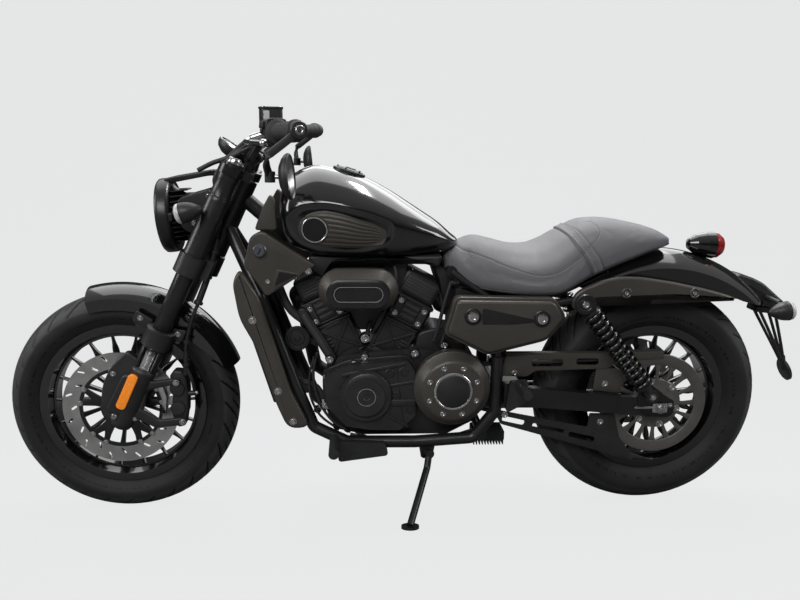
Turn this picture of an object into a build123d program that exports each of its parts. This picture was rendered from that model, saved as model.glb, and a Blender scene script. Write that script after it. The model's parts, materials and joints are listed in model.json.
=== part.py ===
from build123d import *
import math
import os

# Cruiser motorcycle, millimetres. It is modelled upright, then leaned onto its side stand.
# Front is -X, the left side is -Y and up is +Z. x = 0 is halfway between the axles, z = 0 is the floor.

# ---------------------------------------------------------------- driving dimensions
wheelbase = 1420
lean_angle = 12             # parked lean to the left, degrees
rake = 25                   # steering axis from the vertical, degrees
axle_to_stem = 52           # steering axis behind the front axle
axle_to_leg = 20            # fork leg axis behind the front axle
leg_spread = 105            # fork leg axis from the middle plane

front_tyre_radius = 299
front_tyre_width = 120
front_rim_seat = 203        # 16 inch rim
front_rim_half = 41
rear_tyre_radius = 310.5
rear_tyre_width = 150
rear_rim_seat = 190.5       # 15 inch rim
rear_rim_half = 53
crown_radius = 78           # both tyres share it, so both touch the floor when leaned
crown_half_angle = 34
flange_height = 15
flange_thickness = 4

fit_gap = 0.3               # between pieces that seat on each other on different bodies
running_gap = 5             # between moving pieces

axle_radius = 8.5
spoke_count = 18
front_disc_radius = 150
front_disc_y = -66
front_fender_half = 70
front_fender_radius = 322
disc_thickness = 5
rear_disc_radius = 130
rear_disc_y = 92
pulley_radius = 125
pulley_flange_radius = 137
pulley_y = -91              # middle of the belt's width
belt_width = 16
belt_thickness = 5.5
front_pulley_radius = 45
front_pulley_centre = (154, 367)
pulley_cover_radius = 100

leg_tube_radius = 21.5
casting_radius = 30
clamp_radius = 34
cover_radius = 27
lower_yoke_along = 412      # along the leg, from the axle
lower_yoke_height = 52
top_yoke_along = 683
top_yoke_height = 22
cover_top_drop = 58         # the stanchion covers end this far below the top yoke
stem_radius = 17
head_tube_radius = 30

bar_radius = 11
grip_radius = 18
bar_end_y = 396
grip_start_y = 276
bar_height = 1015

tank_half_width = 148
seat_half_width = 150
frame_tube = 16
rail_y = 118
spine_radius = 20
seat_rail_y = 115.7
seat_rail_radius = 10
pivot_x = 272               # swing arm pivot
pivot_z = 348
rear_tube_x = 240           # cross tube behind the crankcase, above the regulator
rear_tube_z = 229
rear_tube_radius = 12
stand_pivot = Vector(98, -129, 186)
stand_axis = Vector(0.381, -0.915, 0.139).normalized()
stand_hub_radius = 11
stand_hub_half = 9
stand_foot_lean = Vector(38, -297, 0)      # where the foot stands on the floor, in the leaned frame
swing_arm_inner = 108
swing_arm_outer = 132
strut_inner = 126
strut_outer = 135.6
strut_bolts = [(595, 621), (774, 621)]      # x, z of the threaded holes in the struts
strut_bolt_radius = 4
shock_y = 161
shock_head = (478, 600)
shock_foot = (673, 352)
rear_fender_radius = 409
rear_fender_half = 105
indicator_arm = 104
silencer_radius = 40
sheet = 3                   # thickness of fenders
crank_centre = (-71, 349)
deck_height = 112           # cylinder base above the crank centre
deck_radius = 66
crankcase_left = -80
crankcase_right = 88
front_bank = -25            # cylinder axis from the vertical, degrees
rear_bank = 28

front_axle = Vector(-wheelbase / 2, 0, front_tyre_radius)
rear_axle = Vector(wheelbase / 2, 0, rear_tyre_radius)
fork_up = Vector(math.sin(math.radians(rake)), 0, math.cos(math.radians(rake)))
fork_back = Vector(math.cos(math.radians(rake)), 0, -math.sin(math.radians(rake)))
standing = (Align.CENTER, Align.CENTER, Align.MIN)


# ---------------------------------------------------------------- helpers
def rod(start, end, radius):
    """Round bar from one point to another."""
    along = Vector(end) - Vector(start)
    return Plane(origin=start, z_dir=along) * Cylinder(radius, along.length, align=standing)


def cross_rod(x, z, y_low, y_high, radius):
    """Round bar along Y."""
    return rod((x, y_low, z), (x, y_high, z), radius)


def slab(outline, y_low, y_high, corner=0):
    """Side view outline of (x, z) points, solid from one y to another."""
    if corner:
        edge = FilletPolyline(*outline, radius=corner, close=True)
    else:
        edge = Polyline(*outline, close=True)
    face = Plane.XZ.offset(-y_high) * make_face(edge)
    return extrude(face, y_high - y_low, dir=(0, -1, 0))


def turned(outline, origin, direction):
    """Closed outline of (radius, height) points turned about an axis."""
    axis = Vector(direction).normalized()
    helper = Vector(1, 0, 0) if abs(axis.X) < 0.8 else Vector(0, 0, 1)
    side = axis.cross(helper).normalized()
    plane = Plane(origin=origin, x_dir=side, z_dir=side.cross(axis))
    edge = outline if isinstance(outline, list) and isinstance(outline[0], Edge) else None
    face = make_face(edge) if edge else make_face(Polyline(*outline, close=True))
    return revolve(plane * face, Axis(origin, axis))


def tube_run(points, radius, bend):
    """Round bar through points, with the corners rounded by the bend radius."""
    path = FilletPolyline(*points, radius=bend)
    section = Plane(origin=path @ 0, z_dir=path % 0) * Circle(radius)
    return sweep(section, path=path)


def both_sides(shape):
    """The shape and its mirror image on the other side of the middle plane."""
    return Part() + [shape, mirror(shape, Plane.XZ)]


def on_fork(along, behind, y):
    """Point measured along the fork from the front axle, and behind it."""
    return front_axle + fork_up * along + fork_back * behind + Vector(0, y, 0)


def leg_point(along, side):
    """Point on a fork leg's axis; side is -1 for the left leg."""
    return on_fork(along, axle_to_leg, side * leg_spread)


def beside(axle, points):
    """Side view points given from an axle's centre."""
    return [(axle.X + x, axle.Z + z) for x, z in points]


def over_rear_wheel(angle, above, y=0):
    """Point above the rear fender's crown, at an angle up from the rear."""
    radius = rear_fender_radius + above
    turn = math.radians(angle)
    return rear_axle + Vector(radius * math.cos(turn), y, radius * math.sin(turn))


def fork_slab(outline, y_low, y_high, corner=0):
    """Outline of (behind, along) points in the fork's own side view, solid from one y to another."""
    plane = Plane(origin=front_axle + Vector(0, y_high, 0), x_dir=fork_back, z_dir=(0, -1, 0))
    edge = FilletPolyline(*outline, radius=corner, close=True) if corner else Polyline(*outline, close=True)
    return extrude(plane * make_face(edge), y_high - y_low, dir=(0, -1, 0))


def side_section(x, bottom, top, half_width, widest, flat):
    """Cross section at x: flat bottom, two bulging sides widest at a height, and a crowned top."""
    plane = Plane(origin=(x, 0, 0), x_dir=(0, 1, 0), z_dir=(1, 0, 0))
    foot = half_width * flat
    shoulder = widest + (top - widest) * 0.62
    inset = half_width * 0.80
    edges = [
        Line((-foot, bottom), (foot, bottom)),
        ThreePointArc((foot, bottom), (half_width, widest), (inset, shoulder)),
        ThreePointArc((inset, shoulder), (0, top), (-inset, shoulder)),
        ThreePointArc((-inset, shoulder), (-half_width, widest), (-foot, bottom)),
    ]
    return plane * make_face(edges)


# ---------------------------------------------------------------- wheels
def tyre(centre, radius, width, rim_seat, rim_half):
    """Closed tyre: crown arc, shoulders, side walls and beads that sit inside the rim's flanges."""
    angle = math.radians(crown_half_angle)
    edge_radius = radius - crown_radius * (1 - math.cos(angle))
    edge_y = crown_radius * math.sin(angle)
    flange = rim_seat + flange_height
    widest_radius = flange + (radius - flange) * 0.48
    lip_y = rim_half + flange_thickness - 1
    bead_y = rim_half - fit_gap
    edges = [ThreePointArc((edge_radius, -edge_y), (radius, 0), (edge_radius, edge_y))]
    for side in (-1, 1):
        shoulder = TangentArc((edge_radius, side * edge_y), (widest_radius, side * width / 2),
                              tangent=(-math.sin(angle), side * math.cos(angle)))
        wall = TangentArc((widest_radius, side * width / 2), (flange + 1, side * lip_y),
                          tangent=(-1, side * 0.05))
        edges += [shoulder, wall]
        edges.append(Polyline((flange + 1, side * lip_y), (flange + 1, side * bead_y),
                              (rim_seat + fit_gap, side * bead_y)))
    edges.append(Line((rim_seat + fit_gap, -bead_y), (rim_seat + fit_gap, bead_y)))
    profile = make_face(edges)
    plane = Plane(origin=centre, x_dir=(1, 0, 0), z_dir=(0, 0, 1))
    return revolve(plane * profile, Axis(centre, (0, 1, 0)))


def rim(centre, seat, half):
    """Drop centre rim with a flange each side."""
    flange = seat + flange_height
    well = seat - 14
    outer = half + flange_thickness
    outline = [(flange, -outer), (flange, -half), (seat, -half), (well, -half + 18), (well, half - 18), (seat, half),
               (flange, half), (flange, outer), (seat - 8, outer), (well - 7, half - 16), (well - 7, -half + 16),
               (seat - 8, -outer)]
    return turned(outline, centre, (0, 1, 0))


def spokes(centre, hub_radius, rim_radius, count, depth):
    """Thin cast spokes, widest at two thirds of their length."""
    mid = hub_radius + (rim_radius - hub_radius) * 0.66
    outline = [(hub_radius - 4, -7), (mid, -10), (rim_radius + 3, -5), (rim_radius + 3, 5), (mid, 10), (hub_radius - 4, 7)]
    blade = extrude(Plane.XZ * make_face(Polyline(*outline, close=True)), depth / 2, both=True)
    return [Pos(*centre) * Rot(0, 360 * (turn + 0.5) / count, 0) * blade for turn in range(count)]


def front_wheel():
    hub_half = leg_spread - casting_radius - 23
    hub = turned([(axle_radius + fit_gap, -hub_half), (30, -hub_half), (34, -30), (44, -26), (44, 26), (34, 30),
                  (30, hub_half), (axle_radius + fit_gap, hub_half)], front_axle, (0, 1, 0))
    wheel = rim(front_axle, front_rim_seat, front_rim_half) + hub
    wheel += spokes(front_axle, 40, front_rim_seat - 21, spoke_count, 26)
    # the disc's carrier: a hub plate, a ring and five forked arms
    inner = front_disc_y - disc_thickness / 2
    outer = front_disc_y + disc_thickness / 2
    plate = turned([(axle_radius + 8, inner), (52, inner), (52, -hub_half + 1), (axle_radius + 8, -hub_half + 1)],
                   front_axle, (0, 1, 0))
    ring = turned([(99, inner), (107.7, inner), (107.7, outer), (99, outer)], front_axle, (0, 1, 0))
    arm = slab([(46, -12), (102, -22), (102, -10), (70, 0), (102, 10), (102, 22), (46, 12)], inner, outer)
    wheel += [plate, ring]
    wheel += [Pos(*front_axle) * Rot(0, 72 * turn, 0) * arm for turn in range(5)]
    return wheel


def brake_disc(centre, outer_radius, inner_radius, y, slots):
    """Brake disc with a ring of slanted slots."""
    low = y - disc_thickness / 2
    high = y + disc_thickness / 2
    disc = turned([(inner_radius, low), (outer_radius, low), (outer_radius, high), (inner_radius, high)],
                  centre, (0, 1, 0))
    middle = (inner_radius + outer_radius) / 2
    cutter = Plane.XZ * SlotOverall(19, 6, rotation=35)
    cutter = extrude(cutter, 20, both=True)
    for turn in range(slots):
        offset = 8 if turn % 2 else -8
        disc -= Pos(centre.X, y, centre.Z) * Rot(0, 360 * turn / slots, 0) * Pos(middle + offset, 0, 0) * cutter
    return disc


def rear_wheel():
    hub = turned([(axle_radius + 0.5 + fit_gap, -76), (32, -76), (50, -72), (50, -30), (42, -22), (42, 22), (50, 30),
                  (50, rear_disc_y - 6), (32, rear_disc_y - 2.8), (axle_radius + 0.5 + fit_gap, rear_disc_y - 2.8)],
                 rear_axle, (0, 1, 0))
    wheel = rim(rear_axle, rear_rim_seat, rear_rim_half) + hub
    wheel += spokes(rear_axle, 44, rear_rim_seat - 21, spoke_count, 30)
    return wheel


def rear_pulley():
    """Toothed drum, slotted web and a wide outer flange."""
    low = pulley_y - belt_width / 2
    high = pulley_y + belt_width / 2
    face = low - 4
    flange = low - fit_gap
    body = turned([(22, face), (pulley_flange_radius, face), (pulley_flange_radius, flange), (pulley_radius, flange),
                   (pulley_radius, high), (112, high), (112, low + 2), (62, low + 2), (56, -76.2), (22, -76.2)],
                  rear_axle, (0, 1, 0))
    slot = extrude(Plane.XZ * make_face(Polyline((72, -9), (104, -12), (104, 12), (72, 9), close=True)), 30, both=True)
    for turn in range(14):
        body -= Pos(rear_axle.X, pulley_y, rear_axle.Z) * Rot(0, 360 * turn / 14, 0) * slot
    return body


def rear_disc():
    disc = brake_disc(rear_axle, rear_disc_radius, 92, rear_disc_y, 16)
    low = rear_disc_y - disc_thickness / 2
    high = rear_disc_y + disc_thickness / 2
    carrier = turned([(24, low), (52, low), (52, high), (24, high)], rear_axle, (0, 1, 0))
    arm = slab([(48, -9), (94, -16), (94, 16), (48, 9)], -disc_thickness / 2, disc_thickness / 2)
    for turn in range(5):
        carrier += Pos(rear_axle.X, rear_disc_y, rear_axle.Z) * Rot(0, 72 * turn, 0) * arm
    return disc + carrier


# ---------------------------------------------------------------- fork and steering
def front_axle_pin():
    reach = leg_spread + casting_radius + 4
    pin = cross_rod(front_axle.X, front_axle.Z, -reach, reach, axle_radius)
    hub_half = leg_spread - casting_radius - 23
    for side in (-1, 1):
        start = side * (hub_half + 1)
        end = side * (leg_spread - casting_radius)
        if side < 0:
            start = front_disc_y - disc_thickness / 2 - 1
        pin += rod((front_axle.X, start, front_axle.Z), (front_axle.X, end, front_axle.Z), 13)
    pin += cross_rod(front_axle.X, front_axle.Z, -reach - 6, -reach + 2, 14)
    return pin


casting_outline = [(-30, 120), (-34, 60), (-26, -10), (0, -26), (40, -20), (62, 30), (40, 125)]
casting_web = 24


def fork_lowers():
    """Lower castings with the axle boss, the slot window and the fender clamp."""
    lowers = []
    for side in (-1, 1):
        leg = rod(leg_point(-22, side), leg_point(137, side), casting_radius)
        leg += rod(leg_point(136, side), leg_point(206, side), 25)
        leg += rod(leg_point(205, side), leg_point(250, side), clamp_radius)
        near = side * leg_spread - casting_web / 2
        far = side * leg_spread + casting_web / 2
        leg += fork_slab(casting_outline, near, far, 12)
        window_low = min(side * leg_spread, side * (leg_spread + 40))
        window_high = max(side * leg_spread, side * (leg_spread + 40))
        leg -= fork_slab([(4, 142), (36, 142), (36, 200), (4, 200)], window_low + (14 if side > 0 else 0),
                         window_high - (14 if side < 0 else 0))
        leg -= cross_rod(front_axle.X, front_axle.Z, near - 60, far + 60, axle_radius)
        lowers.append(leg)
    return Part() + lowers


def fork_uppers():
    """Stanchions with the fatter covers between the yokes and the bare tops."""
    uppers = []
    cover_start = lower_yoke_along + lower_yoke_height
    for side in (-1, 1):
        leg = rod(leg_point(250 + fit_gap, side), leg_point(lower_yoke_along + 2, side), leg_tube_radius)
        leg += rod(leg_point(lower_yoke_along, side), leg_point(cover_start, side), leg_tube_radius)
        cover_end = top_yoke_along - cover_top_drop
        leg += rod(leg_point(cover_start, side), leg_point(cover_end, side), cover_radius)
        leg += rod(leg_point(cover_end, side), leg_point(top_yoke_along, side), 23)
        leg += rod(leg_point(top_yoke_along, side), leg_point(top_yoke_along + top_yoke_height + 8, side), 22)
        uppers.append(leg)
    return Part() + uppers


def yoke(along, height, eye_radius, leg_hole):
    """One yoke: two eyes round the legs, joined by a bridge that carries the stem."""
    body = rod(on_fork(along, axle_to_stem, 0), on_fork(along + height, axle_to_stem, 0), 32)
    for side in (-1, 1):
        body += rod(leg_point(along, side), leg_point(along + height, side), eye_radius)
    bridge = [(axle_to_leg - 10, along), (axle_to_stem + 20, along), (axle_to_stem + 20, along + height),
              (axle_to_leg - 10, along + height)]
    body += fork_slab(bridge, -leg_spread, leg_spread)
    for side in (-1, 1):
        body -= rod(leg_point(along - 1, side), leg_point(along + height + 1, side), leg_hole)
    return body


def lower_yoke():
    stem = rod(on_fork(lower_yoke_along + 2, axle_to_stem, 0), on_fork(top_yoke_along, axle_to_stem, 0), stem_radius)
    return yoke(lower_yoke_along, lower_yoke_height, 35, leg_tube_radius) + stem


def top_yoke():
    """Top yoke with the two risers that hold the handlebar."""
    body = yoke(top_yoke_along, top_yoke_height, 31, 22)
    for side in (-1, 1):
        foot = on_fork(top_yoke_along + top_yoke_height - 2, axle_to_stem, side * 45)
        body += rod(foot, bar_centre() + Vector(0, side * 45, 0), 14)
        body += cross_rod(bar_centre().X, bar_centre().Z, side * 45 - 15, side * 45 + 15, 20)
    body -= cross_rod(bar_centre().X, bar_centre().Z, -80, 80, bar_radius)
    return body


def bar_centre():
    return on_fork(top_yoke_along + top_yoke_height + 34, axle_to_stem - 4, 0)


def bar_points(side):
    """Corners of one half of the handlebar: x, y and z from the clamp outward."""
    centre = bar_centre()
    return [Vector(centre.X, 0, centre.Z), Vector(centre.X, side * 85, centre.Z),
            Vector(centre.X + 52, side * 190, bar_height - 5), Vector(centre.X + 132, side * bar_end_y, bar_height + 1)]


def handlebar():
    bar = Part()
    for side in (-1, 1):
        bar += tube_run(bar_points(side), bar_radius, 30)
    return bar


def grip_length():
    """Length of the straight outer run that the grip covers."""
    corner, end = bar_points(1)[2:4]
    return (end - corner).length * (bar_end_y - grip_start_y) / (end.Y - corner.Y)


def along_bar(side, distance):
    """Point on the straight outer run, measured from the grip's inner end."""
    corner, end = bar_points(side)[2:4]
    return end + (end - corner).normalized() * (distance - grip_length())


def grips():
    """Two grips with inner collars and bar end weights."""
    length = grip_length()
    pieces = []
    for side in (-1, 1):
        inner = along_bar(side, 0)
        direction = along_bar(side, 1) - inner
        pieces.append(turned([(bar_radius, 0), (27, 0), (27, 5), (grip_radius, 9), (grip_radius, length),
                              (22, length), (22, length + 12), (8, length + 16), (0, length + 16), (0, length + 0.2),
                              (bar_radius, length + 0.2)], inner, direction))
    return Part() + pieces


def controls():
    """Switch housings just inside the grips, and the front brake's reservoir."""
    pieces = []
    for side in (-1, 1):
        direction = along_bar(side, 1) - along_bar(side, 0)
        plane = Plane(origin=along_bar(side, -48), z_dir=direction, x_dir=(0, 0, 1))
        block = extrude(plane * RectangleRounded(58, 46, 12), 46)
        block -= rod(along_bar(side, -70), along_bar(side, 5), bar_radius)
        pieces.append(block)
    base = along_bar(1, -71) + Vector(-36, -12, 24)
    box = Pos(*base) * Rot(0, 0, 20) * Box(58, 44, 40, align=standing)
    box = fillet(box.edges().filter_by(Axis.Z), 8)
    foot = rod(along_bar(1, -71) + Vector(-14, 0, 12), base + Vector(0, 0, 1), 9)
    pieces.append(box + foot)
    return Part() + pieces


def lever_path(side):
    """Lever from its pivot ahead of the bar to the ball at its tip."""
    pivot = along_bar(side, -70) + Vector(-42, 0, -14)
    return [pivot, along_bar(side, -20) + Vector(-66, 0, -22), along_bar(side, 50) + Vector(-70, 0, -24),
            along_bar(side, 112) + Vector(-60, 0, -26)]


def levers():
    """Polished levers with their clamps on the bar."""
    pieces = []
    for side in (-1, 1):
        clamp_low = along_bar(side, -84)
        clamp_high = along_bar(side, -58)
        perch = rod(clamp_low, clamp_high, 17)
        perch += rod(along_bar(side, -70), lever_path(side)[0], 10)
        perch -= rod(along_bar(side, -100), along_bar(side, -40), bar_radius)
        blade = tube_run(lever_path(side), 6, 20)
        ball = Pos(*lever_path(side)[-1]) * Sphere(9)
        pieces.append(perch + blade + ball)
    return Part() + pieces


def mirrors():
    """Round mirrors hanging on arms from the bar ends."""
    pieces = []
    for side in (-1, 1):
        start = along_bar(side, grip_length() + 16 + fit_gap)
        outward = (along_bar(side, 1) - along_bar(side, 0)).normalized()
        collar = rod(start, start + outward * 18, 17)
        end = start + outward * 12
        elbow = end + Vector(-60, side * 6, -50)
        hang = elbow + Vector(0, side * -24, -44)
        arm = tube_run([end, elbow, hang], 5.5, 12)
        arm += rod(hang + Vector(0, 0, 2), hang + Vector(32, 0, 2), 5)
        face = hang + Vector(34, 0, 2)
        glass = turned([(0, -14), (20, -12), (40, -4), (47, 4), (44, 9), (0, 9)], face, (1, side * 0.1, 0.08))
        pieces.append(collar + arm + glass)
    return Part() + pieces


def instrument():
    """Round instrument in its cup ahead of the handlebar."""
    centre = on_fork(top_yoke_along + 58, -16, 0)
    face_dir = Vector(0.55, 0, 0.83)
    cup = turned([(0, -30), (34, -30), (44, -8), (46, 10), (42, 14), (0, 14)], centre, face_dir)
    stalk = rod(on_fork(top_yoke_along + top_yoke_height - 1, 22, 0), centre - face_dir.normalized() * 28, 12)
    return cup + stalk


lamp_centre = on_fork(514, -80, 0)
lamp_direction = Vector(-1, 0, -0.09)
lamp_radius = 92


def headlamp_shell():
    """Deep round shell with cooling ribs round its waist, open at the front for the lens."""
    outline = [(0, -70), (50, -70), (72, -58), (80, -48)]
    for rib in range(5):
        start = -46 + rib * 8
        outline += [(83, start), (lamp_radius, start + 1), (lamp_radius, start + 5), (83, start + 6)]
    outline += [(lamp_radius, -4), (lamp_radius + 3, 0), (lamp_radius + 3, 22), (lamp_radius - 4, 24),
                (lamp_radius - 6, 6), (0, 6)]
    shell = turned(outline, lamp_centre, lamp_direction)
    # ears to the fork legs
    for side in (-1, 1):
        y_low, y_high = sorted((side * 64, side * (leg_spread - cover_radius)))
        shell += fork_slab([(-51, 606), (-31, 654), (-1, 641), (17, 561), (1, 500), (-35, 525)], y_low, y_high, 8)
    return shell


def headlamp_lens():
    outer = lamp_radius - 6.4
    return turned([(0, 6 + fit_gap), (outer - 2, 6 + fit_gap), (outer - 2, 22), (70, 30), (36, 36), (0, 38)],
                  lamp_centre, lamp_direction)


def bullet(tip, direction, length, radius):
    """Bullet shaped lamp body: pointed back, straight rim."""
    return turned([(0, 0), (radius * 0.45, length * 0.12), (radius * 0.8, length * 0.38), (radius, length * 0.72),
                   (radius, length), (0, length)], tip, direction)


def front_indicators():
    pieces = []
    for side in (-1, 1):
        tip = on_fork(588, 0, side * 152)
        direction = Vector(-1, 0, -0.25)
        lamp = bullet(tip, direction, 66, 25)
        stalk = rod(on_fork(569, -25, side * (leg_spread - cover_radius)), on_fork(569, -25, side * 134), 8)
        pieces.append(lamp + stalk)
    return Part() + pieces


def crowned_section(outer, half, shoulder_drop, skirt):
    """Section of a fender in its own plane: straight sides and a crowned top, filled down to the skirt."""
    shoulder = outer - shoulder_drop
    return make_face([Line((skirt, -half), (shoulder, -half)),
                      ThreePointArc((shoulder, -half), (outer, 0), (shoulder, half)),
                      Line((shoulder, half), (skirt, half)),
                      Line((skirt, half), (skirt, -half))])


def turned_part(section, centre, first_angle, last_angle):
    """Section turned part of the way round a wheel's axis; angles run up from the rear."""
    plane = Plane(origin=centre, x_dir=(1, 0, 0), z_dir=(0, 0, 1))
    spin = Axis(centre, (0, 1, 0))
    return revolve(plane * section, spin, revolution_arc=last_angle - first_angle).rotate(spin, -last_angle)


def crowned_strip(centre, outer, half, shoulder_drop, skirt, first_angle, last_angle):
    """Sheet fender: the filled section less one that is smaller by the sheet."""
    section = crowned_section(outer, half, shoulder_drop, skirt)
    section -= crowned_section(outer - sheet, half - sheet, shoulder_drop, skirt - 1)
    return turned_part(section, centre, first_angle, last_angle)


def front_fender():
    """Short front fender with its stays to the fork clamps."""
    fender = crowned_strip(front_axle, front_fender_radius, front_fender_half, 30, 262, 20, 104.5)
    fender -= slab(beside(front_axle, [(180, 188), (285, 99), (240, 71), (150, 141)]), -90, 90)
    for side in (-1, 1):
        y_low, y_high = sorted((side * (front_fender_half - 1), side * (leg_spread - clamp_radius)))
        fender += fork_slab([(-52, 222), (72, 222), (62, 268), (-44, 268)], y_low, y_high, 6)
    return fender


def front_caliper():
    """Caliper over the rear of the disc, on a bracket with two arms from the left casting."""
    slot = disc_thickness / 2 + running_gap
    outline = beside(front_axle, [(106, 96), (150, 111), (180, 81), (183, 1), (150, -23), (120, 1), (104, 46)])
    body = slab(outline, front_disc_y - 42, front_disc_y + 13, 8)
    void = turned([(0, front_disc_y - slot), (front_disc_radius + running_gap, front_disc_y - slot),
                   (front_disc_radius + running_gap, front_disc_y + slot), (0, front_disc_y + slot)],
                  front_axle, (0, 1, 0))
    body -= void
    upper_arm = beside(front_axle, [(70, 86), (150, 105), (154, 93), (78, 69)])
    lower_arm = beside(front_axle, [(42, -3), (110, -23), (162, -9), (158, 3), (110, -7), (50, 19)])
    body += slab(upper_arm, front_disc_y - 56, front_disc_y - 40, 4)
    body += slab(lower_arm, front_disc_y - 56, front_disc_y - 40, 4)
    body -= rod(leg_point(-22, -1), leg_point(137, -1), casting_radius + fit_gap)
    near = -leg_spread - casting_web / 2 - fit_gap
    body -= fork_slab(casting_outline, near, near + casting_web + 2 * fit_gap, 12)
    return body


def fork_reflectors():
    """Round ended reflectors on the outer faces of the castings."""
    pieces = []
    for side in (-1, 1):
        y_low, y_high = sorted((side * (leg_spread + casting_radius - 1.5), side * (leg_spread + casting_radius + 6)))
        plate = fork_slab([(12, 22), (28, 22), (28, 116), (12, 116)], y_low, y_high, 7.9)
        plate -= rod(leg_point(-22, side), leg_point(137, side), casting_radius)
        pieces.append(plate)
    return Part() + pieces


# ---------------------------------------------------------------- frame
def head_tube():
    low = on_fork(lower_yoke_along + lower_yoke_height + running_gap, axle_to_stem, 0)
    high = on_fork(top_yoke_along - running_gap, axle_to_stem, 0)
    return low, high


def frame_cradle():
    """Head tube, two down tubes, the lower rails and the uprights at the swing arm's pivot."""
    low, high = head_tube()
    cradle = rod(low, high, head_tube_radius)
    for side in (-1, 1):
        points = [low + (high - low) * 0.35 + Vector(10, side * 14, 0), Vector(-338, side * 84, 600),
                  Vector(-252, side * 104, 372), Vector(-205, side * 110, 258), Vector(-118, side * rail_y, 218),
                  Vector(60, side * rail_y, 216), Vector(215, side * rail_y, 226), Vector(pivot_x, side * rail_y, 300),
                  Vector(pivot_x, side * rail_y, 450)]
        cradle += tube_run(points, frame_tube, 26)
    cradle -= rod(low - fork_up * 5, high + fork_up * 5, stem_radius + fit_gap)
    cradle += cross_rod(rear_tube_x, rear_tube_z, -rail_y, rail_y, rear_tube_radius)
    return cradle + stand_lug()


def stand_lug():
    """Plate below the left rail that carries the stand's pivot, square to the pivot's axis."""
    face = stand_pivot - stand_axis * (stand_hub_half + fit_gap)
    ahead = (Vector(1, 0, 0) - stand_axis * stand_axis.X).normalized()
    plane = Plane(origin=face, x_dir=ahead, z_dir=-stand_axis)
    outline = FilletPolyline((-24, -34), (26, -34), (15, 14), (-15, 14), radius=6, close=True)
    return extrude(plane * make_face(outline), 8)


def spine_run(radius):
    """Backbone tube under the tank, from the head tube to the seat cross tube."""
    low, high = head_tube()
    start = low + (high - low) * 0.72 + Vector(24, 0, 0)
    return tube_run([start, Vector(-270, 0, 745), Vector(-60, 0, 724), Vector(96, 0, 706), Vector(150, 0, 668)],
                    radius, 60)


def frame_backbone():
    """Backbone under the tank, and the seat rails to the shock mounts."""
    spine = spine_run(spine_radius)
    spine += rod((150, -96, 668), (150, 96, 668), 14)
    for side in (-1, 1):
        rail = [Vector(150, side * 92, 668), Vector(262, side * seat_rail_y, 592), Vector(400, side * seat_rail_y, 588),
                Vector(520, side * seat_rail_y, 606)]
        spine += tube_run(rail, seat_rail_radius, 22)
        spine += tube_run([Vector(pivot_x, side * rail_y, 450), Vector(pivot_x, side * rail_y, 520),
                           Vector(pivot_x + 4, side * seat_rail_y, 592)], seat_rail_radius, 12)
    low, high = head_tube()
    spine -= rod(low, high, head_tube_radius)
    return spine


def tank_body():
    """Fuel tank: blunt front, crowned top and a tail that narrows to the seat."""
    sections = [
        # x, bottom, top, half width, widest height, flat share of the bottom
        (-280, 772, 872, 92, 826, 0.60),
        (-262, 738, 910, 128, 812, 0.62),
        (-205, 716, 930, 146, 806, 0.66),
        (-84, 714, 909, 148, 800, 0.68),
        (40, 714, 844, 122, 776, 0.70),
        (120, 716, 792, 88, 752, 0.72),
        (169, 720, 752, 56, 734, 0.74),
    ]
    body = loft([side_section(x, bottom, top, half * tank_half_width / 148, widest, flat)
                 for x, bottom, top, half, widest, flat in sections])
    return body


def seat_body():
    """Rider's dished seat and the raised passenger pad behind it, as one closed cushion."""
    sections = [
        # x, bottom, top, half width, widest height, flat share of the bottom
        (140, 664, 722, 84, 690, 0.75),
        (209, 640, 751, 118, 684, 0.80),
        (270, 630, 737, 142, 672, 0.85),
        (337, 628, 733, 150, 668, 0.86),
        (400, 634, 744, 146, 676, 0.86),
        (450, 652, 772, 128, 700, 0.86),
        (520, 668, 796, 112, 722, 0.86),
        (600, 696, 798, 104, 740, 0.86),
        (680, 714, 782, 88, 744, 0.86),
        (728, 722, 756, 60, 738, 0.86),
    ]
    return loft([side_section(x, bottom, top, half * seat_half_width / 150, widest, flat)
                 for x, bottom, top, half, widest, flat in sections])


def under_rear_fender():
    """Everything inside the rear fender's outer surface."""
    section = crowned_section(rear_fender_radius, rear_fender_half, 40, rear_fender_radius - 250)
    return turned_part(section, rear_axle, 30, 150)


def rear_fender_body():
    """Crowned rear fender round the wheel, trimmed to its side view."""
    dome = crowned_strip(rear_axle, rear_fender_radius, rear_fender_half, 40, rear_fender_radius - 150, 42, 138)
    keep = slab([(440, 640), (560, 604), (640, 600), (900, 600), (922, 592), (1010, 570), (1040, 700), (900, 800),
                 (400, 800)], -rear_fender_half - 5, rear_fender_half + 5)
    return dome & keep


# ---------------------------------------------------------------- engine
def bank_axis(angle):
    return Vector(math.sin(math.radians(angle)), 0, math.cos(math.radians(angle)))


def cylinder(angle):
    """Finned barrel turned about the cylinder's axis, with a squared head and cover on top."""
    origin = Vector(crank_centre[0], 0, crank_centre[1])
    direction = bank_axis(angle)
    core = 52
    outline = [(0, deck_height), (core, deck_height)]
    for step in range(8):
        start = deck_height + 22 + step * 16
        outline += [(core, start), (deck_radius, start + 1), (deck_radius, start + 6), (core, start + 7)]
    top = deck_height + 152
    outline += [(core, top), (0, top)]
    barrel = turned(outline, origin, direction)
    plane = Plane(origin=origin + direction * (top - 6), z_dir=direction, x_dir=(0, 1, 0))
    head = extrude(plane * RectangleRounded(126, 124, 18), 46)
    cover = extrude(plane.offset(46) * RectangleRounded(112, 108, 24), 28)
    cover = chamfer(cover.faces().sort_by(Axis(origin, direction))[-1].edges(), 9)
    return barrel + head + cover


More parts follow.
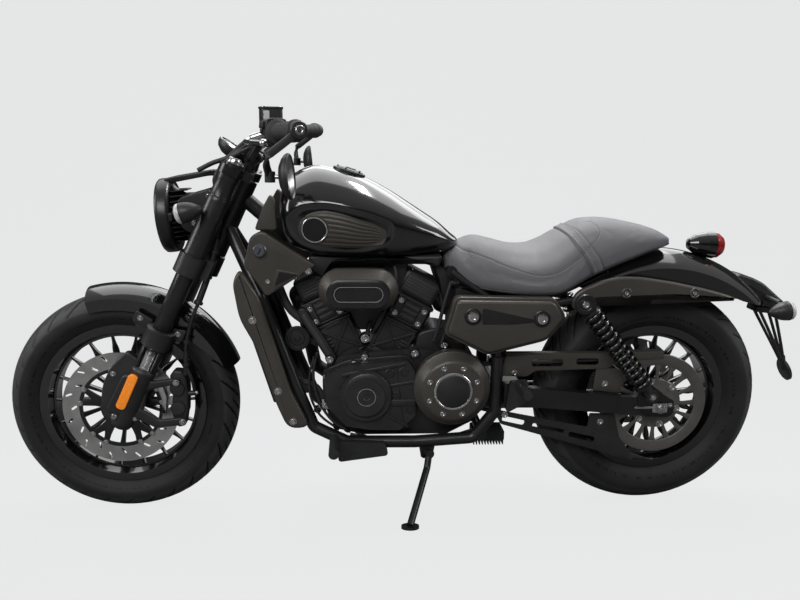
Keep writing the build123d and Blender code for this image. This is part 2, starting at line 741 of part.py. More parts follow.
def crankcase():
    """Crankcase with a deck for each cylinder, and the gearbox shaft that carries the front belt pulley."""
    outline = [(-176, 300), (-150, 240), (-70, 222), (150, 222), (226, 262), (232, 330), (224, 428), (160, 452),
               (40, 458), (-40, 452), (-140, 440), (-176, 380)]
    case = slab(outline, crankcase_left, crankcase_right, 14)
    origin = Vector(crank_centre[0], 0, crank_centre[1])
    for angle in (front_bank, rear_bank):
        case += rod(origin + bank_axis(angle) * 40, origin + bank_axis(angle) * deck_height, deck_radius)
    for angle in (front_bank, rear_bank):
        case -= rod(origin + bank_axis(angle) * deck_height, origin + bank_axis(angle) * 300, deck_radius + 2)
    x, z = front_pulley_centre
    belt_side = pulley_y - belt_width / 2
    case += cross_rod(x, z, belt_side, crankcase_left, 18)
    case += cross_rod(x, z, belt_side, belt_side + belt_width, front_pulley_radius)
    return case


def left_cover():
    """Alternator side cover with its round boss, on the left face of the crankcase."""
    outline = [(-178, 400), (-110, 428), (40, 440), (60, 400), (60, 290), (20, 250), (-60, 252), (-120, 262),
               (-172, 320)]
    cover = slab(outline, -124, crankcase_left, 14)
    cover += cross_rod(crank_centre[0], crank_centre[1], -140, -120, 66)
    cover += cross_rod(crank_centre[0], crank_centre[1], -150, -138, 50)
    x, z = front_pulley_centre
    cover -= cross_rod(x, z, -200, crankcase_left, pulley_cover_radius + 1)
    return cover


def pulley_cover():
    """Big round cover over the front belt pulley, standing on three posts."""
    x, z = front_pulley_centre
    belt_outer = pulley_y - belt_width / 2 - 4
    rim_radius = pulley_cover_radius
    cover = turned([(0, belt_outer), (rim_radius, belt_outer), (rim_radius, -150), (rim_radius - 8, -160), (52, -160),
                    (50, -156), (0, -156)], Vector(x, 0, z), (0, 1, 0))
    for angle in (120, 240, 300, 60):
        post_x = x + 84 * math.cos(math.radians(angle))
        post_z = z + 84 * math.sin(math.radians(angle))
        cover += cross_rod(post_x, post_z, belt_outer - 1, crankcase_left, 7)
    return cover


def right_cover():
    """Clutch side cover on the right face of the crankcase."""
    outline = [(-168, 320), (-120, 250), (60, 240), (170, 280), (180, 380), (120, 430), (-60, 436), (-150, 410)]
    cover = slab(outline, crankcase_right, 128, 16)
    cover += cross_rod(80, 350, 126, 144, 82)
    cover += cross_rod(crank_centre[0], crank_centre[1], 126, 140, 46)
    return cover


def intake():
    """Throttle body between the banks and the stub to the air cleaner."""
    return slab([(-104, 560), (-14, 560), (4, 640), (-110, 640)], -52, 52, 10) + cross_rod(-58, 612, -150, -50, 26)


def air_cleaner():
    """Oval air cleaner: a domed cover on a shallow drum."""
    drum = extrude(Plane.XZ.offset(150) * (Pos(-91, 634) * SlotOverall(193, 95)), 26)
    cover = extrude(Plane.XZ.offset(176) * (Pos(-91, 634) * SlotOverall(176, 78)), 14)
    ring = drum + cover
    return ring


def radiator():
    """Radiator ahead of the down tubes."""
    return slab([(-388, 600), (-360, 600), (-278, 332), (-306, 332)], -128, 128, 4)


def radiator_shroud():
    """Side shrouds of the radiator, from the neck down to the lower rail."""
    outline = [(-380, 684), (-398, 648), (-384, 557), (-346, 486), (-297, 332), (-270, 264), (-212, 268),
               (-262, 365), (-336, 611)]
    shroud = slab(outline, -146, -128, 10)
    shroud += rod((-270, -129, 400), (-262, -101, 400), 7)
    shroud += rod((-252, -129, 326), (-231, -107, 320), 7)
    return both_sides(shroud)


def neck_covers():
    """Triangular neck covers, and the upper ones between the yoke and the tank."""
    lower = slab([(-370, 690), (-354, 758), (-326, 774), (-196, 690), (-319, 612), (-336, 640)], -134, -112, 8)
    upper = slab([(-345, 776), (-323, 826), (-306, 862), (-296, 846), (-292, 776)], -112, -94, 5)
    knob = cross_rod(-330, 726, -146, -133, 13)
    lower += rod((-342, -113, 636), (-348, -86, 636), 8)
    upper += rod((-318, -95, 790), (-318, -14, 790), 8)
    return both_sides(lower + upper + knob)


def side_covers():
    """Bevelled side covers below the seat."""
    outline = [(153, 614), (403, 612), (435, 564), (389, 504), (239, 466), (126, 521)]
    inset = [(166, 602), (396, 600), (420, 564), (382, 516), (240, 480), (142, 527)]
    body = slab(outline, -160, -rail_y - seat_rail_radius, 6) + slab(inset, -170, -159.5, 5)
    return both_sides(body)


def battery_box():
    """Closed box between the side covers."""
    half = seat_rail_y - seat_rail_radius
    return slab([(160, 480), (400, 500), (400, 600), (250, 600), (160, 630)], -half, half, 8)


def exhaust():
    """Two header pipes to the right and two short stacked silencers."""
    front_port = Vector(crank_centre[0], 0, crank_centre[1]) + bank_axis(front_bank) * 282
    rear_port = Vector(crank_centre[0], 0, crank_centre[1]) + bank_axis(rear_bank) * 282
    front_pipe = tube_run([front_port + Vector(-45, 30, 0), front_port + Vector(-72, 80, -30),
                           Vector(-238, 152, 480), Vector(-214, 180, 340), Vector(-100, 186, 256),
                           Vector(40, 186, 228), Vector(180, 186, 232)], 19, 34)
    rear_pipe = tube_run([rear_port + Vector(20, 58, 10), rear_port + Vector(24, 128, -10), Vector(110, 186, 520),
                          Vector(96, 190, 400), Vector(140, 188, 330), Vector(200, 186, 318)], 19, 30)
    shell = silencer_radius
    outline = [(0, 0), (22, 0), (shell - 4, 30), (shell, 60), (shell, 300), (shell - 8, 330), (26, 332), (26, 322),
               (0, 322)]
    lower = turned(outline, (170, 186, 232), (1, 0, 0.02))
    upper = turned(outline, (190, 186, 318), (1, 0, 0.02))
    link = rod((330, 186, 240), (330, 186, 318), 10)
    return front_pipe + rear_pipe + lower + upper + link


# ---------------------------------------------------------------- rear end
def swing_arm():
    """Two long arms, the cross block between them and the pivot tube between the frame's uprights."""
    start = pivot_x + 20
    tip = beside(rear_axle, [(-70, 27), (-27, 51), (6, 35), (36, 13), (36, -25), (-54, -23)])
    outline = [(start, 381), (363, 366), *tip, (385, 312), (start, 313)]
    arms = both_sides(slab(outline, -swing_arm_outer, -swing_arm_inner, 8))
    arms += slab([(pivot_x, 326), (346, 322), (346, 366), (pivot_x, 370)], -80, 80, 6)
    arms += slab([(start + 2, 322), (346, 322), (346, 366), (start + 2, 366)], -swing_arm_inner, swing_arm_inner, 8)
    tube_end = rail_y - frame_tube - fit_gap
    arms += cross_rod(pivot_x, pivot_z, -tube_end, tube_end, 21)
    for side in (-1, 1):
        y_low, y_high = sorted((side * (swing_arm_outer - 1), side * (shock_y + 14)))
        arms += cross_rod(shock_foot[0], shock_foot[1], y_low, y_high, 8)
    arms -= cross_rod(rear_axle.X, rear_axle.Z, -200, 200, axle_radius + 0.5)
    return arms


def rear_axle_pin():
    reach = swing_arm_outer + 10
    pin = cross_rod(rear_axle.X, rear_axle.Z, -reach, reach, axle_radius + 0.5)
    for side in (-1, 1):
        y_low, y_high = sorted((side * swing_arm_outer, side * (swing_arm_outer + 12)))
        pin += cross_rod(rear_axle.X, rear_axle.Z, y_low, y_high, 15)
    spacer_left = [pulley_y - belt_width / 2 - 5, -swing_arm_inner]
    pin += cross_rod(rear_axle.X, rear_axle.Z, min(spacer_left), max(spacer_left), 14)
    pin += cross_rod(rear_axle.X, rear_axle.Z, rear_disc_y + 3.5, swing_arm_inner, 14)
    return pin


def belt():
    """Fixed loop of belt round both pulleys."""
    inner = belt_loop(fit_gap + 0.2)
    outer = belt_loop(fit_gap + 0.2 + belt_thickness)
    return extrude(Plane.XZ.offset(-(pulley_y + belt_width / 2)) * (outer - inner), belt_width, dir=(0, -1, 0))


def belt_loop(offset):
    """Side view of the belt loop grown by an offset from both pulleys."""
    front = Pos(*front_pulley_centre) * Circle(front_pulley_radius + offset)
    rear = Pos(rear_axle.X, rear_axle.Z) * Circle(pulley_radius + offset)
    return make_hull((front + rear).edges())


def belt_guards():
    """Upper and lower belt guards, left of the belt's runs."""
    near = pulley_y - belt_width / 2 - 9
    upper = slab([(296, 446), (287, 392), (355, 390), (376, 406), (568, 412), (600, 436), (720, 440), (716, 456),
                  (555, 448), (400, 450)], near, near + 4, 5)
    upper += slab([(300, 446), (560, 446), (720, 452), (720, 456), (560, 452), (300, 452)], near, pulley_y + 8)
    for x, z, length in ((408, 427, 78), (515, 430, 62)):
        upper -= extrude(Plane.XZ.offset(-near - 20) * (Pos(x, z) * SlotOverall(length, 16)), 60)
    lower = slab([(262, 288), (437, 250), (530, 292), (600, 276), (640, 190), (709, 151), (560, 178), (439, 206)],
                 near, near + 4, 6)
    lower -= extrude(Plane.XZ.offset(-near - 20) * (Pos(330, 262) * SlotOverall(56, 14, rotation=-13)), 60)
    return Part() + [upper, lower]


def shocks():
    """Coil-over shock absorbers: eyes, body and a scalloped sleeve for the spring."""
    pieces = []
    for side in (-1, 1):
        top = Vector(shock_head[0], side * shock_y, shock_head[1])
        bottom = Vector(shock_foot[0], side * shock_y, shock_foot[1])
        direction = (bottom - top).normalized()
        length = (bottom - top).length
        outline = [(0, 12), (15, 12), (20, 26), (25, 28)]
        turns = 11
        start = 32
        pitch = (length - 32 - 44) / turns
        for turn in range(turns):
            low = start + turn * pitch
            outline += [(18, low), (24.5, low + pitch * 0.32), (24.5, low + pitch * 0.62), (18, low + pitch * 0.94)]
        outline += [(26, length - 42), (26, length - 36), (13, length - 28), (11, length - 10), (0, length - 10)]
        body = turned(outline, top, direction)
        low, high = sorted((side * (shock_y - 11), side * (shock_y + 11)))
        body += cross_rod(top.X, top.Z, low, high, 20)
        body += cross_rod(bottom.X, bottom.Z, low, high, 16)
        body -= cross_rod(bottom.X, bottom.Z, low - 1, high + 1, 8)
        pieces.append(body)
    return Part() + pieces


def fender_struts():
    """Long tapered struts that carry the fender and the tops of the shocks."""
    outline = [(452, 592), (456, 614), (474, 630), (500, 634), (534, 644), (666, 645), (772, 637), (874, 604),
               (870, 592), (740, 608), (591, 592), (545, 602), (514, 606), (498, 588), (478, 576), (460, 580)]
    strut = slab(outline, -strut_outer, -strut_inner, 2.5)
    strut += cross_rod(shock_head[0], shock_head[1], -shock_y + 11, -strut_outer + 1, 14)
    for x, z in strut_bolts:
        strut += cross_rod(x, z, -strut_inner - 1, -rear_fender_half, 9)
        strut -= cross_rod(x, z, -strut_outer - 1, -rear_fender_half + 1, strut_bolt_radius)
    return both_sides(strut)


def tail_lamp():
    return turned([(0, 0), (14, 6), (26, 24), (34, 52), (36, 74), (0, 74)], over_rear_wheel(78, 20), (1, 0, -0.06))


def tail_lens():
    return turned([(0, 74), (34, 74), (33, 86), (24, 98), (10, 104), (0, 105)], over_rear_wheel(78, 20),
                  (1, 0, -0.06))


def holder_point(back, up, y=0):
    """Point measured back and up from where the plate holder meets the rear fender."""
    return over_rear_wheel(48, -24, y) + Vector(back, 0, up)


def plate_holder():
    """Lamp housing behind the fender, the stalk below it and the round reflector."""
    foot = holder_point(0, 0)
    housing = slab(beside(foot, [(0, 0), (4, 26), (72, 10), (107, -24), (80, -46), (24, -12)]), -34, 34, 5)
    stalk = slab(beside(foot, [(52, -40), (80, -36), (142, -194), (128, -198)]), -22, 22, 4)
    plate = turned([(0, 0), (31, 0), (31, 8), (0, 8)], holder_point(134, -224), (1, 0, 0.36))
    bridge = rod(holder_point(132, -192), holder_point(136, -216), 8)
    arms = rod(holder_point(52, -8, -indicator_arm), holder_point(52, -8, indicator_arm), 8)
    return housing + stalk + plate + bridge + arms


def rear_indicators():
    pieces = []
    for side in (-1, 1):
        tip = holder_point(14, -30, side * (indicator_arm + 29))
        stalk = rod(holder_point(52, -8, side * indicator_arm), holder_point(52, -8, side * (indicator_arm + 14)), 7)
        pieces.append(bullet(tip, (1, 0, 0.12), 66, 25) + stalk)
    return Part() + pieces


def rear_caliper():
    """Rear caliper over the disc on the right side, hung from the swing arm."""
    slot = disc_thickness / 2 + running_gap
    outline = beside(rear_axle, [(-135, 60), (-106, 118), (-45, 144), (-20, 102), (-70, 78), (-98, 35)])
    body = slab(outline, rear_disc_y - 24, rear_disc_y + 14, 8)
    body -= turned([(0, rear_disc_y - slot), (rear_disc_radius + running_gap, rear_disc_y - slot),
                    (rear_disc_radius + running_gap, rear_disc_y + slot), (0, rear_disc_y + slot)],
                   rear_axle, (0, 1, 0))
    hanger = beside(rear_axle, [(-110, 16), (-62, 16), (-62, 90), (-104, 90)])
    body += slab(hanger, rear_disc_y + 11, swing_arm_inner, 6)
    return body


def foot_pegs():
    """Rider's pegs with their brackets, and the passenger's pegs."""
    pieces = []
    for side in (-1, 1):
        y_low, y_high = sorted((side * (rail_y + frame_tube), side * 152))
        bracket = slab([(-139, 175), (-150, 232), (-20, 226), (-10, 192)], y_low, y_high, 8)
        peg = rod((-150, side * 150, 238), (-150, side * 262, 244), 13)
        pieces.append(bracket + peg)
        rear_bracket = slab([(292, 300), (304, 388), (352, 392), (346, 330)], *sorted((side * swing_arm_outer, side * 146)), 8)
        rear_peg = rod((330, side * 144, 374), (330, side * 236, 382), 12)
        pieces.append(rear_bracket + rear_peg)
    return Part() + pieces


def regulator():
    top = rear_tube_z - rear_tube_radius - fit_gap
    return slab([(226, top - 28), (313, top - 28), (313, top), (226, top)], -52, 12, 4)


def lean_back(point_leaned):
    """Upright position of a point given in the leaned frame."""
    angle = math.radians(lean_angle)
    lift = crown_radius * (1 - math.cos(angle))
    y = point_leaned.Y * math.cos(angle) + (point_leaned.Z - lift) * math.sin(angle)
    z = -point_leaned.Y * math.sin(angle) + (point_leaned.Z - lift) * math.cos(angle)
    return Vector(point_leaned.X, y, z)


def side_stand():
    """Leg from its pivot to the foot that rests on the floor."""
    foot_top = lean_back(stand_foot_lean + Vector(0, 0, 6))
    leg = tube_run([stand_pivot, stand_pivot + Vector(-6, -14, -34), foot_top], 9, 14)
    leg += rod(stand_pivot - stand_axis * stand_hub_half, stand_pivot + stand_axis * stand_hub_half, stand_hub_radius)
    foot = Pos(*stand_foot_lean) * Cylinder(22, 7, align=standing)
    angle = math.radians(lean_angle)
    lift = crown_radius * (1 - math.cos(angle))
    upright_foot = foot.translate((0, 0, -lift)).rotate(Axis.X, -lean_angle)
    return leg + upright_foot


# ---------------------------------------------------------------- assembly
def build():
    """Every node, upright, by name."""
    fender = rear_fender_body()
    backbone = frame_backbone()
    cradle = frame_cradle()
    tank = tank_body() - spine_run(spine_radius + fit_gap)
    cylinders = Part() + [cylinder(front_bank), cylinder(rear_bank)]
    crown = top_yoke()
    lever_pair = levers()
    struts = fender_struts()
    box = battery_box() - backbone
    return {
        "front_tyre": tyre(front_axle, front_tyre_radius, front_tyre_width, front_rim_seat, front_rim_half),
        "front_wheel": front_wheel(),
        "front_disc": brake_disc(front_axle, front_disc_radius, 108, front_disc_y, 24),
        "rear_tyre": tyre(rear_axle, rear_tyre_radius, rear_tyre_width, rear_rim_seat, rear_rim_half),
        "rear_wheel": rear_wheel(),
        "rear_pulley": rear_pulley(),
        "rear_disc": rear_disc(),
        "front_axle": front_axle_pin(),
        "fork_lowers": fork_lowers(),
        "fork_uppers": fork_uppers(),
        "lower_yoke": lower_yoke(),
        "top_yoke": crown,
        "handlebar": handlebar(),
        "grips": grips(),
        "controls": controls() - lever_pair,
        "levers": lever_pair,
        "mirrors": mirrors(),
        "instrument": instrument() - crown,
        "headlamp_shell": headlamp_shell(),
        "headlamp_lens": headlamp_lens(),
        "front_indicators": front_indicators(),
        "front_fender": front_fender(),
        "front_caliper": front_caliper(),
        "fork_reflectors": fork_reflectors(),
        "frame_cradle": cradle,
        "frame_backbone": backbone,
        "tank": tank,
        "seat": seat_body() - tank - under_rear_fender() - backbone - box,
        "rear_fender": fender,
        "fender_struts": struts,
        "cylinders": cylinders,
        "crankcase": crankcase(),
        "engine_covers": Part() + [left_cover(), right_cover()],
        "pulley_cover": pulley_cover(),
        "intake": intake() - cylinders,
        "air_cleaner": air_cleaner(),
        "radiator": radiator(),
        "radiator_shroud": radiator_shroud() - cradle,
        "neck_covers": neck_covers() - cradle - backbone,
        "side_covers": side_covers(),
        "battery_box": box,
        "exhaust": exhaust() - cylinders,
        "swing_arm": swing_arm(),
        "rear_axle": rear_axle_pin(),
        "belt": belt(),
        "belt_guards": belt_guards(),
        "shocks": shocks() - struts,
        "tail_lamp": tail_lamp() - fender,
        "tail_lens": tail_lens(),
        "plate_holder": plate_holder() - fender,
        "rear_indicators": rear_indicators(),
        "rear_caliper": rear_caliper(),
        "foot_pegs": foot_pegs(),
        "regulator": regulator(),
        "side_stand": side_stand(),
    }


def leaned(shape):
    """The shape leaned onto the side stand, with both tyres on the floor."""
    lift = crown_radius * (1 - math.cos(math.radians(lean_angle)))
    return shape.rotate(Axis.X, lean_angle).translate((0, 0, lift))


def place_on_floor(nodes):
    """Every node leaned, and the whole model moved so that its box stands centred on the origin."""
    standing_nodes = {name: leaned(shape) for name, shape in nodes.items()}
    boxes = [shape.bounding_box() for shape in standing_nodes.values()]
    middle_x = (min(box.min.X for box in boxes) + max(box.max.X for box in boxes)) / 2
    middle_y = (min(box.min.Y for box in boxes) + max(box.max.Y for box in boxes)) / 2
    shift = Vector(-middle_x, -middle_y, 0)
    return {name: shape.translate(shift) for name, shape in standing_nodes.items()}, shift


parts, parts_shift = place_on_floor(build())
os.makedirs("parts", exist_ok=True)
for name, shape in parts.items():
    export_step(shape, f"parts/{name}.step")
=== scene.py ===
import json
from math import atan2, copysign, cos, hypot, pi, radians, sin, sqrt
import bmesh
import bpy
import numpy as np
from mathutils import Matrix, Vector
from mathutils.bvhtree import BVHTree


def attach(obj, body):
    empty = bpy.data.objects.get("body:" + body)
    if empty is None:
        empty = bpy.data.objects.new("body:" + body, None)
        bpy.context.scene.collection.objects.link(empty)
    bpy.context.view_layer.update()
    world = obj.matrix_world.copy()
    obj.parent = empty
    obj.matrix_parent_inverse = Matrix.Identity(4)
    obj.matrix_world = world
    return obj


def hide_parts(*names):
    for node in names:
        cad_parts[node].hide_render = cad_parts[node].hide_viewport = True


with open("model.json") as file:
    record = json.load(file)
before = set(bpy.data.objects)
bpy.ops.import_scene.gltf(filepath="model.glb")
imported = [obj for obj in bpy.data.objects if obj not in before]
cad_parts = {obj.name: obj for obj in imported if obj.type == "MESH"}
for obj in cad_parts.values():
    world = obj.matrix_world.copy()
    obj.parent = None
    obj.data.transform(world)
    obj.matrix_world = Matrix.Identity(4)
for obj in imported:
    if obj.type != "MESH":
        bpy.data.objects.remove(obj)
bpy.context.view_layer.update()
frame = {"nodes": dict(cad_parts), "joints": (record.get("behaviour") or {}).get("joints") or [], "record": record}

record = frame["record"]
jointOf = {joint["name"]: joint for joint in frame["joints"]}
bodyOf = {node: body for body, nodes in record["behaviour"]["bodies"].items() for node in nodes}
slotOf = {part["node"]: part["material_slot"] for part in record["subparts"]}
print("frame loaded:", len(bodyOf), "nodes")

perMetre = 1000
# the motorcycle is drawn upright in millimetres, front at -x, left at -y, then leaned onto its stand
stance = {"frontAxle": (-710.0, 0.0, 299.0), "rearAxle": (710.0, 0.0, 310.5), "rake": 25.0}
frontAxle = np.array(stance["frontAxle"])
rearAxle = np.array(stance["rearAxle"])
wheelAxis = jointOf["rear_wheel_spin"]["axis"]
leanAngle = atan2(-wheelAxis[2], -wheelAxis[1])
leanTurn = np.array(((1, 0, 0), (0, cos(leanAngle), -sin(leanAngle)),
                     (0, sin(leanAngle), cos(leanAngle))))
leanOrigin = np.array(jointOf["rear_wheel_spin"]["pos_m"]) - leanTurn @ rearAxle / perMetre
rakeAngle = radians(stance["rake"])
forkUp = np.array((sin(rakeAngle), 0, cos(rakeAngle)))
forkBack = np.array((cos(rakeAngle), 0, -sin(rakeAngle)))
leftAxis, rightAxis = np.array((0, -1.0, 0)), np.array((0, 1.0, 0))


# count angles spread evenly round a full turn
def circle(count):
    return np.linspace(0, 2 * pi, count, endpoint=False)


# upright millimetres turned by the lean and moved to the parked place, in metres
def placed(points):
    return np.asarray(points, float) / perMetre @ leanTurn.T + leanOrigin


# placed() taken back again, from metres to upright millimetres
def uprightOf(places):
    return (places - leanOrigin) @ leanTurn * perMetre


# an object of this data, in the scene
def linked(name, data):
    made = bpy.data.objects.new(name, data)
    bpy.context.scene.collection.objects.link(made)
    return made


# front axle + along * fork direction + behind * its square + y across
def onFork(along, behind, y):
    along, behind, y = np.broadcast_arrays(along, behind, y)
    return frontAxle + along[..., None] * forkUp + behind[..., None] * forkBack + y[..., None] * rightAxis


# quads of a grid of points, row by row, joined up where it wraps
def weave(rows, columns, wrapRows=False, wrapColumns=True):
    r, c = np.meshgrid(np.arange(rows if wrapRows else rows - 1),
                       np.arange(columns if wrapColumns else columns - 1), indexing="ij")
    nextR, nextC = (r + 1) % rows, (c + 1) % columns
    return np.stack((r * columns + c, r * columns + nextC, nextR * columns + nextC, nextR * columns + c),
                    -1).reshape(-1, 4)


# a grid of points as one part: its quads, and a flat face over the first and last row
def surface(grid, wrapRows=False, wrapColumns=True, capped=True):
    rows, columns = grid.shape[:2]
    faces = [weave(rows, columns, wrapRows, wrapColumns)]
    if capped:
        faces += [np.arange(columns)[None, ::-1], np.arange(columns)[None] + (rows - 1) * columns]
    return grid.reshape(-1, 3), faces


def unit(vectors):
    vectors = np.asarray(vectors, float)
    return vectors / np.linalg.norm(vectors, axis=-1, keepdims=True)


# cubic between table rows, with slopes from the neighbouring rows
def hermite(knots, values, at):
    knots, values = np.asarray(knots, float), np.asarray(values, float)
    at = np.clip(at, knots[0], knots[-1])
    slopes = np.gradient(values, knots, axis=0)
    i = np.clip(np.searchsorted(knots, at, side="right") - 1, 0, len(knots) - 2)
    span = knots[i + 1] - knots[i]
    t = (at - knots[i]) / span
    if values.ndim > 1:
        t, span = t[:, None], span[:, None]
    return ((2 * t ** 3 - 3 * t ** 2 + 1) * values[i] + (t ** 3 - 2 * t ** 2 + t) * span * slopes[i]
            + (3 * t ** 2 - 2 * t ** 3) * values[i + 1] + (t ** 3 - t ** 2) * span * slopes[i + 1])


# running length of a line at each of its points
def reachAlong(points):
    return np.concatenate(([0], np.cumsum(np.linalg.norm(np.diff(points, axis=0), axis=1))))


# smooth curve through points, even along its chords
def curve(points, samples):
    points = np.asarray(points, float)
    reach = reachAlong(points)
    return hermite(reach, points, np.linspace(0, reach[-1], samples))


# closed outline with each corner made a quadratic arc that starts and ends "radius" from it
def rounded(outline, radius, steps=5):
    corner = np.asarray(outline, float)
    toLast, toNext = np.roll(corner, 1, 0) - corner, np.roll(corner, -1, 0) - corner
    lastLength, nextLength = np.linalg.norm(toLast, axis=1), np.linalg.norm(toNext, axis=1)
    radius = np.broadcast_to(np.asarray(radius, float), len(corner))
    reach = np.minimum(radius, 0.48 * np.minimum(lastLength, nextLength))[:, None]
    start = corner + toLast / lastLength[:, None] * reach
    end = corner + toNext / nextLength[:, None] * reach
    s = np.linspace(0, 1, steps)[None, :, None]
    arc = (1 - s) ** 2 * start[:, None] + 2 * s * (1 - s) * corner[:, None] + s ** 2 * end[:, None]
    return arc.reshape(-1, 2)


# closed curve through points, for outlines without corners
def looped(points, samples):
    points = np.asarray(points, float)
    ring = np.concatenate((points[-3:], points, points[:4]))
    reach = reachAlong(ring)
    return hermite(reach, ring, np.linspace(reach[3], reach[3 + len(points)], samples, endpoint=False))


def sideView(u, v, w):  # outline u along x and v up, w across
    return np.stack(np.broadcast_arrays(u, w, v), -1)


def forkView(u, v, w):  # outline u behind the fork axis and v along it, w across
    return onFork(v, u, w)


# u and v along the two given directions and w along the third, from an origin
def planeView(origin, first, second, third):
    def place(u, v, w):
        u, v, w = np.broadcast_arrays(u, v, w)
        return (np.asarray(origin, float) + u[..., None] * np.asarray(first, float)
                + v[..., None] * np.asarray(second, float) + w[..., None] * np.asarray(third, float))
    return place


# outline drawn in by "inset" along its own normals
def drawnIn(outline, inset):
    ahead, back = np.roll(outline, -1, 0) - outline, outline - np.roll(outline, 1, 0)
    along = unit(unit(ahead + 1e-9) + unit(back + 1e-9))
    area = 0.5 * np.sum(outline[:, 0] * np.roll(outline[:, 1], -1) - np.roll(outline[:, 0], -1) * outline[:, 1])
    return outline + np.stack((-along[:, 1], along[:, 0]), -1) * copysign(1, area) * inset


# outline carried from one depth to another, its rims rounded by quarter circles of the bevel
def prism(outline, low, high, bevel=1.0, place=sideView, steps=3):
    outline = np.asarray(outline, float)
    turn = np.linspace(0, pi / 2, steps + 1)
    inset, rise = bevel * (1 - np.sin(turn)), bevel * (1 - np.cos(turn))
    insets = np.concatenate((inset, inset[::-1]))
    depths = np.concatenate((low + rise, high - rise[::-1]))
    rings = np.array([drawnIn(outline, value) for value in insets])
    return surface(place(rings[..., 0], rings[..., 1], depths[:, None]))


# the same from an outline's corners, each rounded
def slab(corners, radius, *rest, **named):
    return prism(rounded(corners, radius), *rest, **named)


# two unit vectors square to the axis
def squareTo(axis):
    axis = unit(axis)
    helper = np.eye(3)[np.argmin(np.abs(axis))]
    first = unit(np.cross(axis, helper))
    return axis, first, np.cross(axis, first)


pointed = 0.01  # a lathe's end of a smaller radius comes to a point and needs no cap


# origin + height * axis + radius * (cos, sin) across; rows marked six have a hexagon's radius
def lathe(profile, origin, axis, sides=40, six=None, ring=False):
    profile = np.asarray(profile, float)
    axis, first, second = squareTo(axis)
    turn = circle(sides)
    radius = np.broadcast_to(profile[:, :1], (len(profile), sides)).copy()
    if six is not None:
        flat = cos(pi / 6) / np.cos(turn % (pi / 3) - pi / 6)
        radius[list(six)] *= flat
    across = np.cos(turn)[:, None] * first + np.sin(turn)[:, None] * second
    grid = np.asarray(origin, float) + profile[:, 1, None, None] * axis + radius[..., None] * across
    points, faces = surface(grid, wrapRows=ring, capped=False)
    if not ring:
        ends = ((0, np.arange(sides)[None, ::-1]), (-1, np.arange(sides)[None] + (len(profile) - 1) * sides))
        faces += [ids for end, ids in ends if profile[end, 0] > pointed]
    return points, faces


# unit tangent of a path, and two more square to it, the first as near the hint as it can be
def framesAlong(path, hint=None):
    tangent = unit(np.gradient(path, axis=0))
    if hint is None:
        hint = np.eye(3)[np.argmin(np.abs(tangent).max(0))]
    first = unit(np.asarray(hint, float) - (tangent @ hint)[:, None] * tangent)
    return tangent, first, np.cross(tangent, first)


# profile carried along a path: path + radius * (a * first + b * second)
def tube(path, radius, sides=14, hint=None, profile=None, closed=False):
    path = np.asarray(path, float)
    _, first, second = framesAlong(path, hint)
    if profile is None:
        turn = circle(sides)
        profile = np.stack((np.cos(turn), np.sin(turn)), -1)
    scale = np.broadcast_to(np.asarray(radius, float), len(path))[:, None, None]
    profile = np.asarray(profile, float)
    grid = path[:, None] + scale * (profile[None, :, :1] * first[:, None] + profile[None, :, 1:] * second[:, None])
    return surface(grid, wrapRows=closed, capped=not closed)


# bolt heads: a flange, a rounded cap and a six sided socket, one at each place
def bolts(places, axis, radius=4.5, height=None, sides=18, flange=1.35):
    tall = height or radius * 0.9
    profile = np.array([(flange, 0), (flange, 0.16), (1.04, 0.2), (1.0, 0.72), (0.9, 0.94), (0.74, 1), (0.56, 1),
                        (0.5, 0.45), (0, 0.4)]) * (radius, tall)
    shape, faces = lathe(profile, (0, 0, 0), axis, sides, six=(6, 7))
    return [(shape + np.asarray(place, float), faces) for place in places]


# six sided nuts with a washer
def nuts(places, axis, radius=7, height=6):
    profile = np.array([(1.3, 0), (1.3, 0.2), (1.0, 0.22), (1.0, 0.92), (0.9, 1), (0.45, 1), (0.45, 1.25), (0, 1.3)])
    shape, faces = lathe(profile * (radius, height), (0, 0, 0), axis, 24, six=(2, 3, 4))
    return [(shape + np.asarray(place, float), faces) for place in places]


def mirrored(parts):  # the same parts on the other side of the middle plane
    return [(points * (1, -1, 1), [faces[:, ::-1] for faces in groups]) for points, groups in parts]


def bothSides(parts):
    return list(parts) + mirrored(parts)


# all parts' points and polygons in one mesh, its doubles merged and its normals turned outwards
def meshOf(name, parts):
    points, loops, totals, offset = [], [], [], 0
    for corners, groups in parts:
        points.append(corners)
        for group in groups:
            loops.append(group.ravel() + offset)
            totals.append(np.full(len(group), group.shape[1]))
        offset += len(corners)
    points, loops, totals = placed(np.concatenate(points)), np.concatenate(loops), np.concatenate(totals)
    mesh = bpy.data.meshes.new(name)
    mesh.vertices.add(len(points))
    mesh.vertices.foreach_set("co", points.astype(np.float32).ravel())
    mesh.loops.add(len(loops))
    mesh.loops.foreach_set("vertex_index", loops.astype(np.int32))
    mesh.polygons.add(len(totals))
    mesh.polygons.foreach_set("loop_start", np.concatenate(([0], np.cumsum(totals)[:-1])).astype(np.int32))
    mesh.update(calc_edges=True)
    mesh.validate()
    shell = bmesh.new()
    shell.from_mesh(mesh)
    bmesh.ops.remove_doubles(shell, verts=shell.verts, dist=2e-6)
    bmesh.ops.recalc_face_normals(shell, faces=shell.faces)
    shell.to_mesh(mesh)
    shell.free()
    return mesh


# the slot that a finish of its own name's stands in for
slotUnder = {"bright_bolt": "axle_steel", "lock_grey": "axle_steel", "dark_badge": "satin_black", "thread": "leather",
             "engine_panel": "radiator_black", "pale_lens": "clear_lens", "red_switch": "red_lens",
             "alloy_black": "gloss_black", "rear_tyre_rubber": "tyre_rubber"}


usualSharp = 38  # degrees: an edge bent by more stays sharp


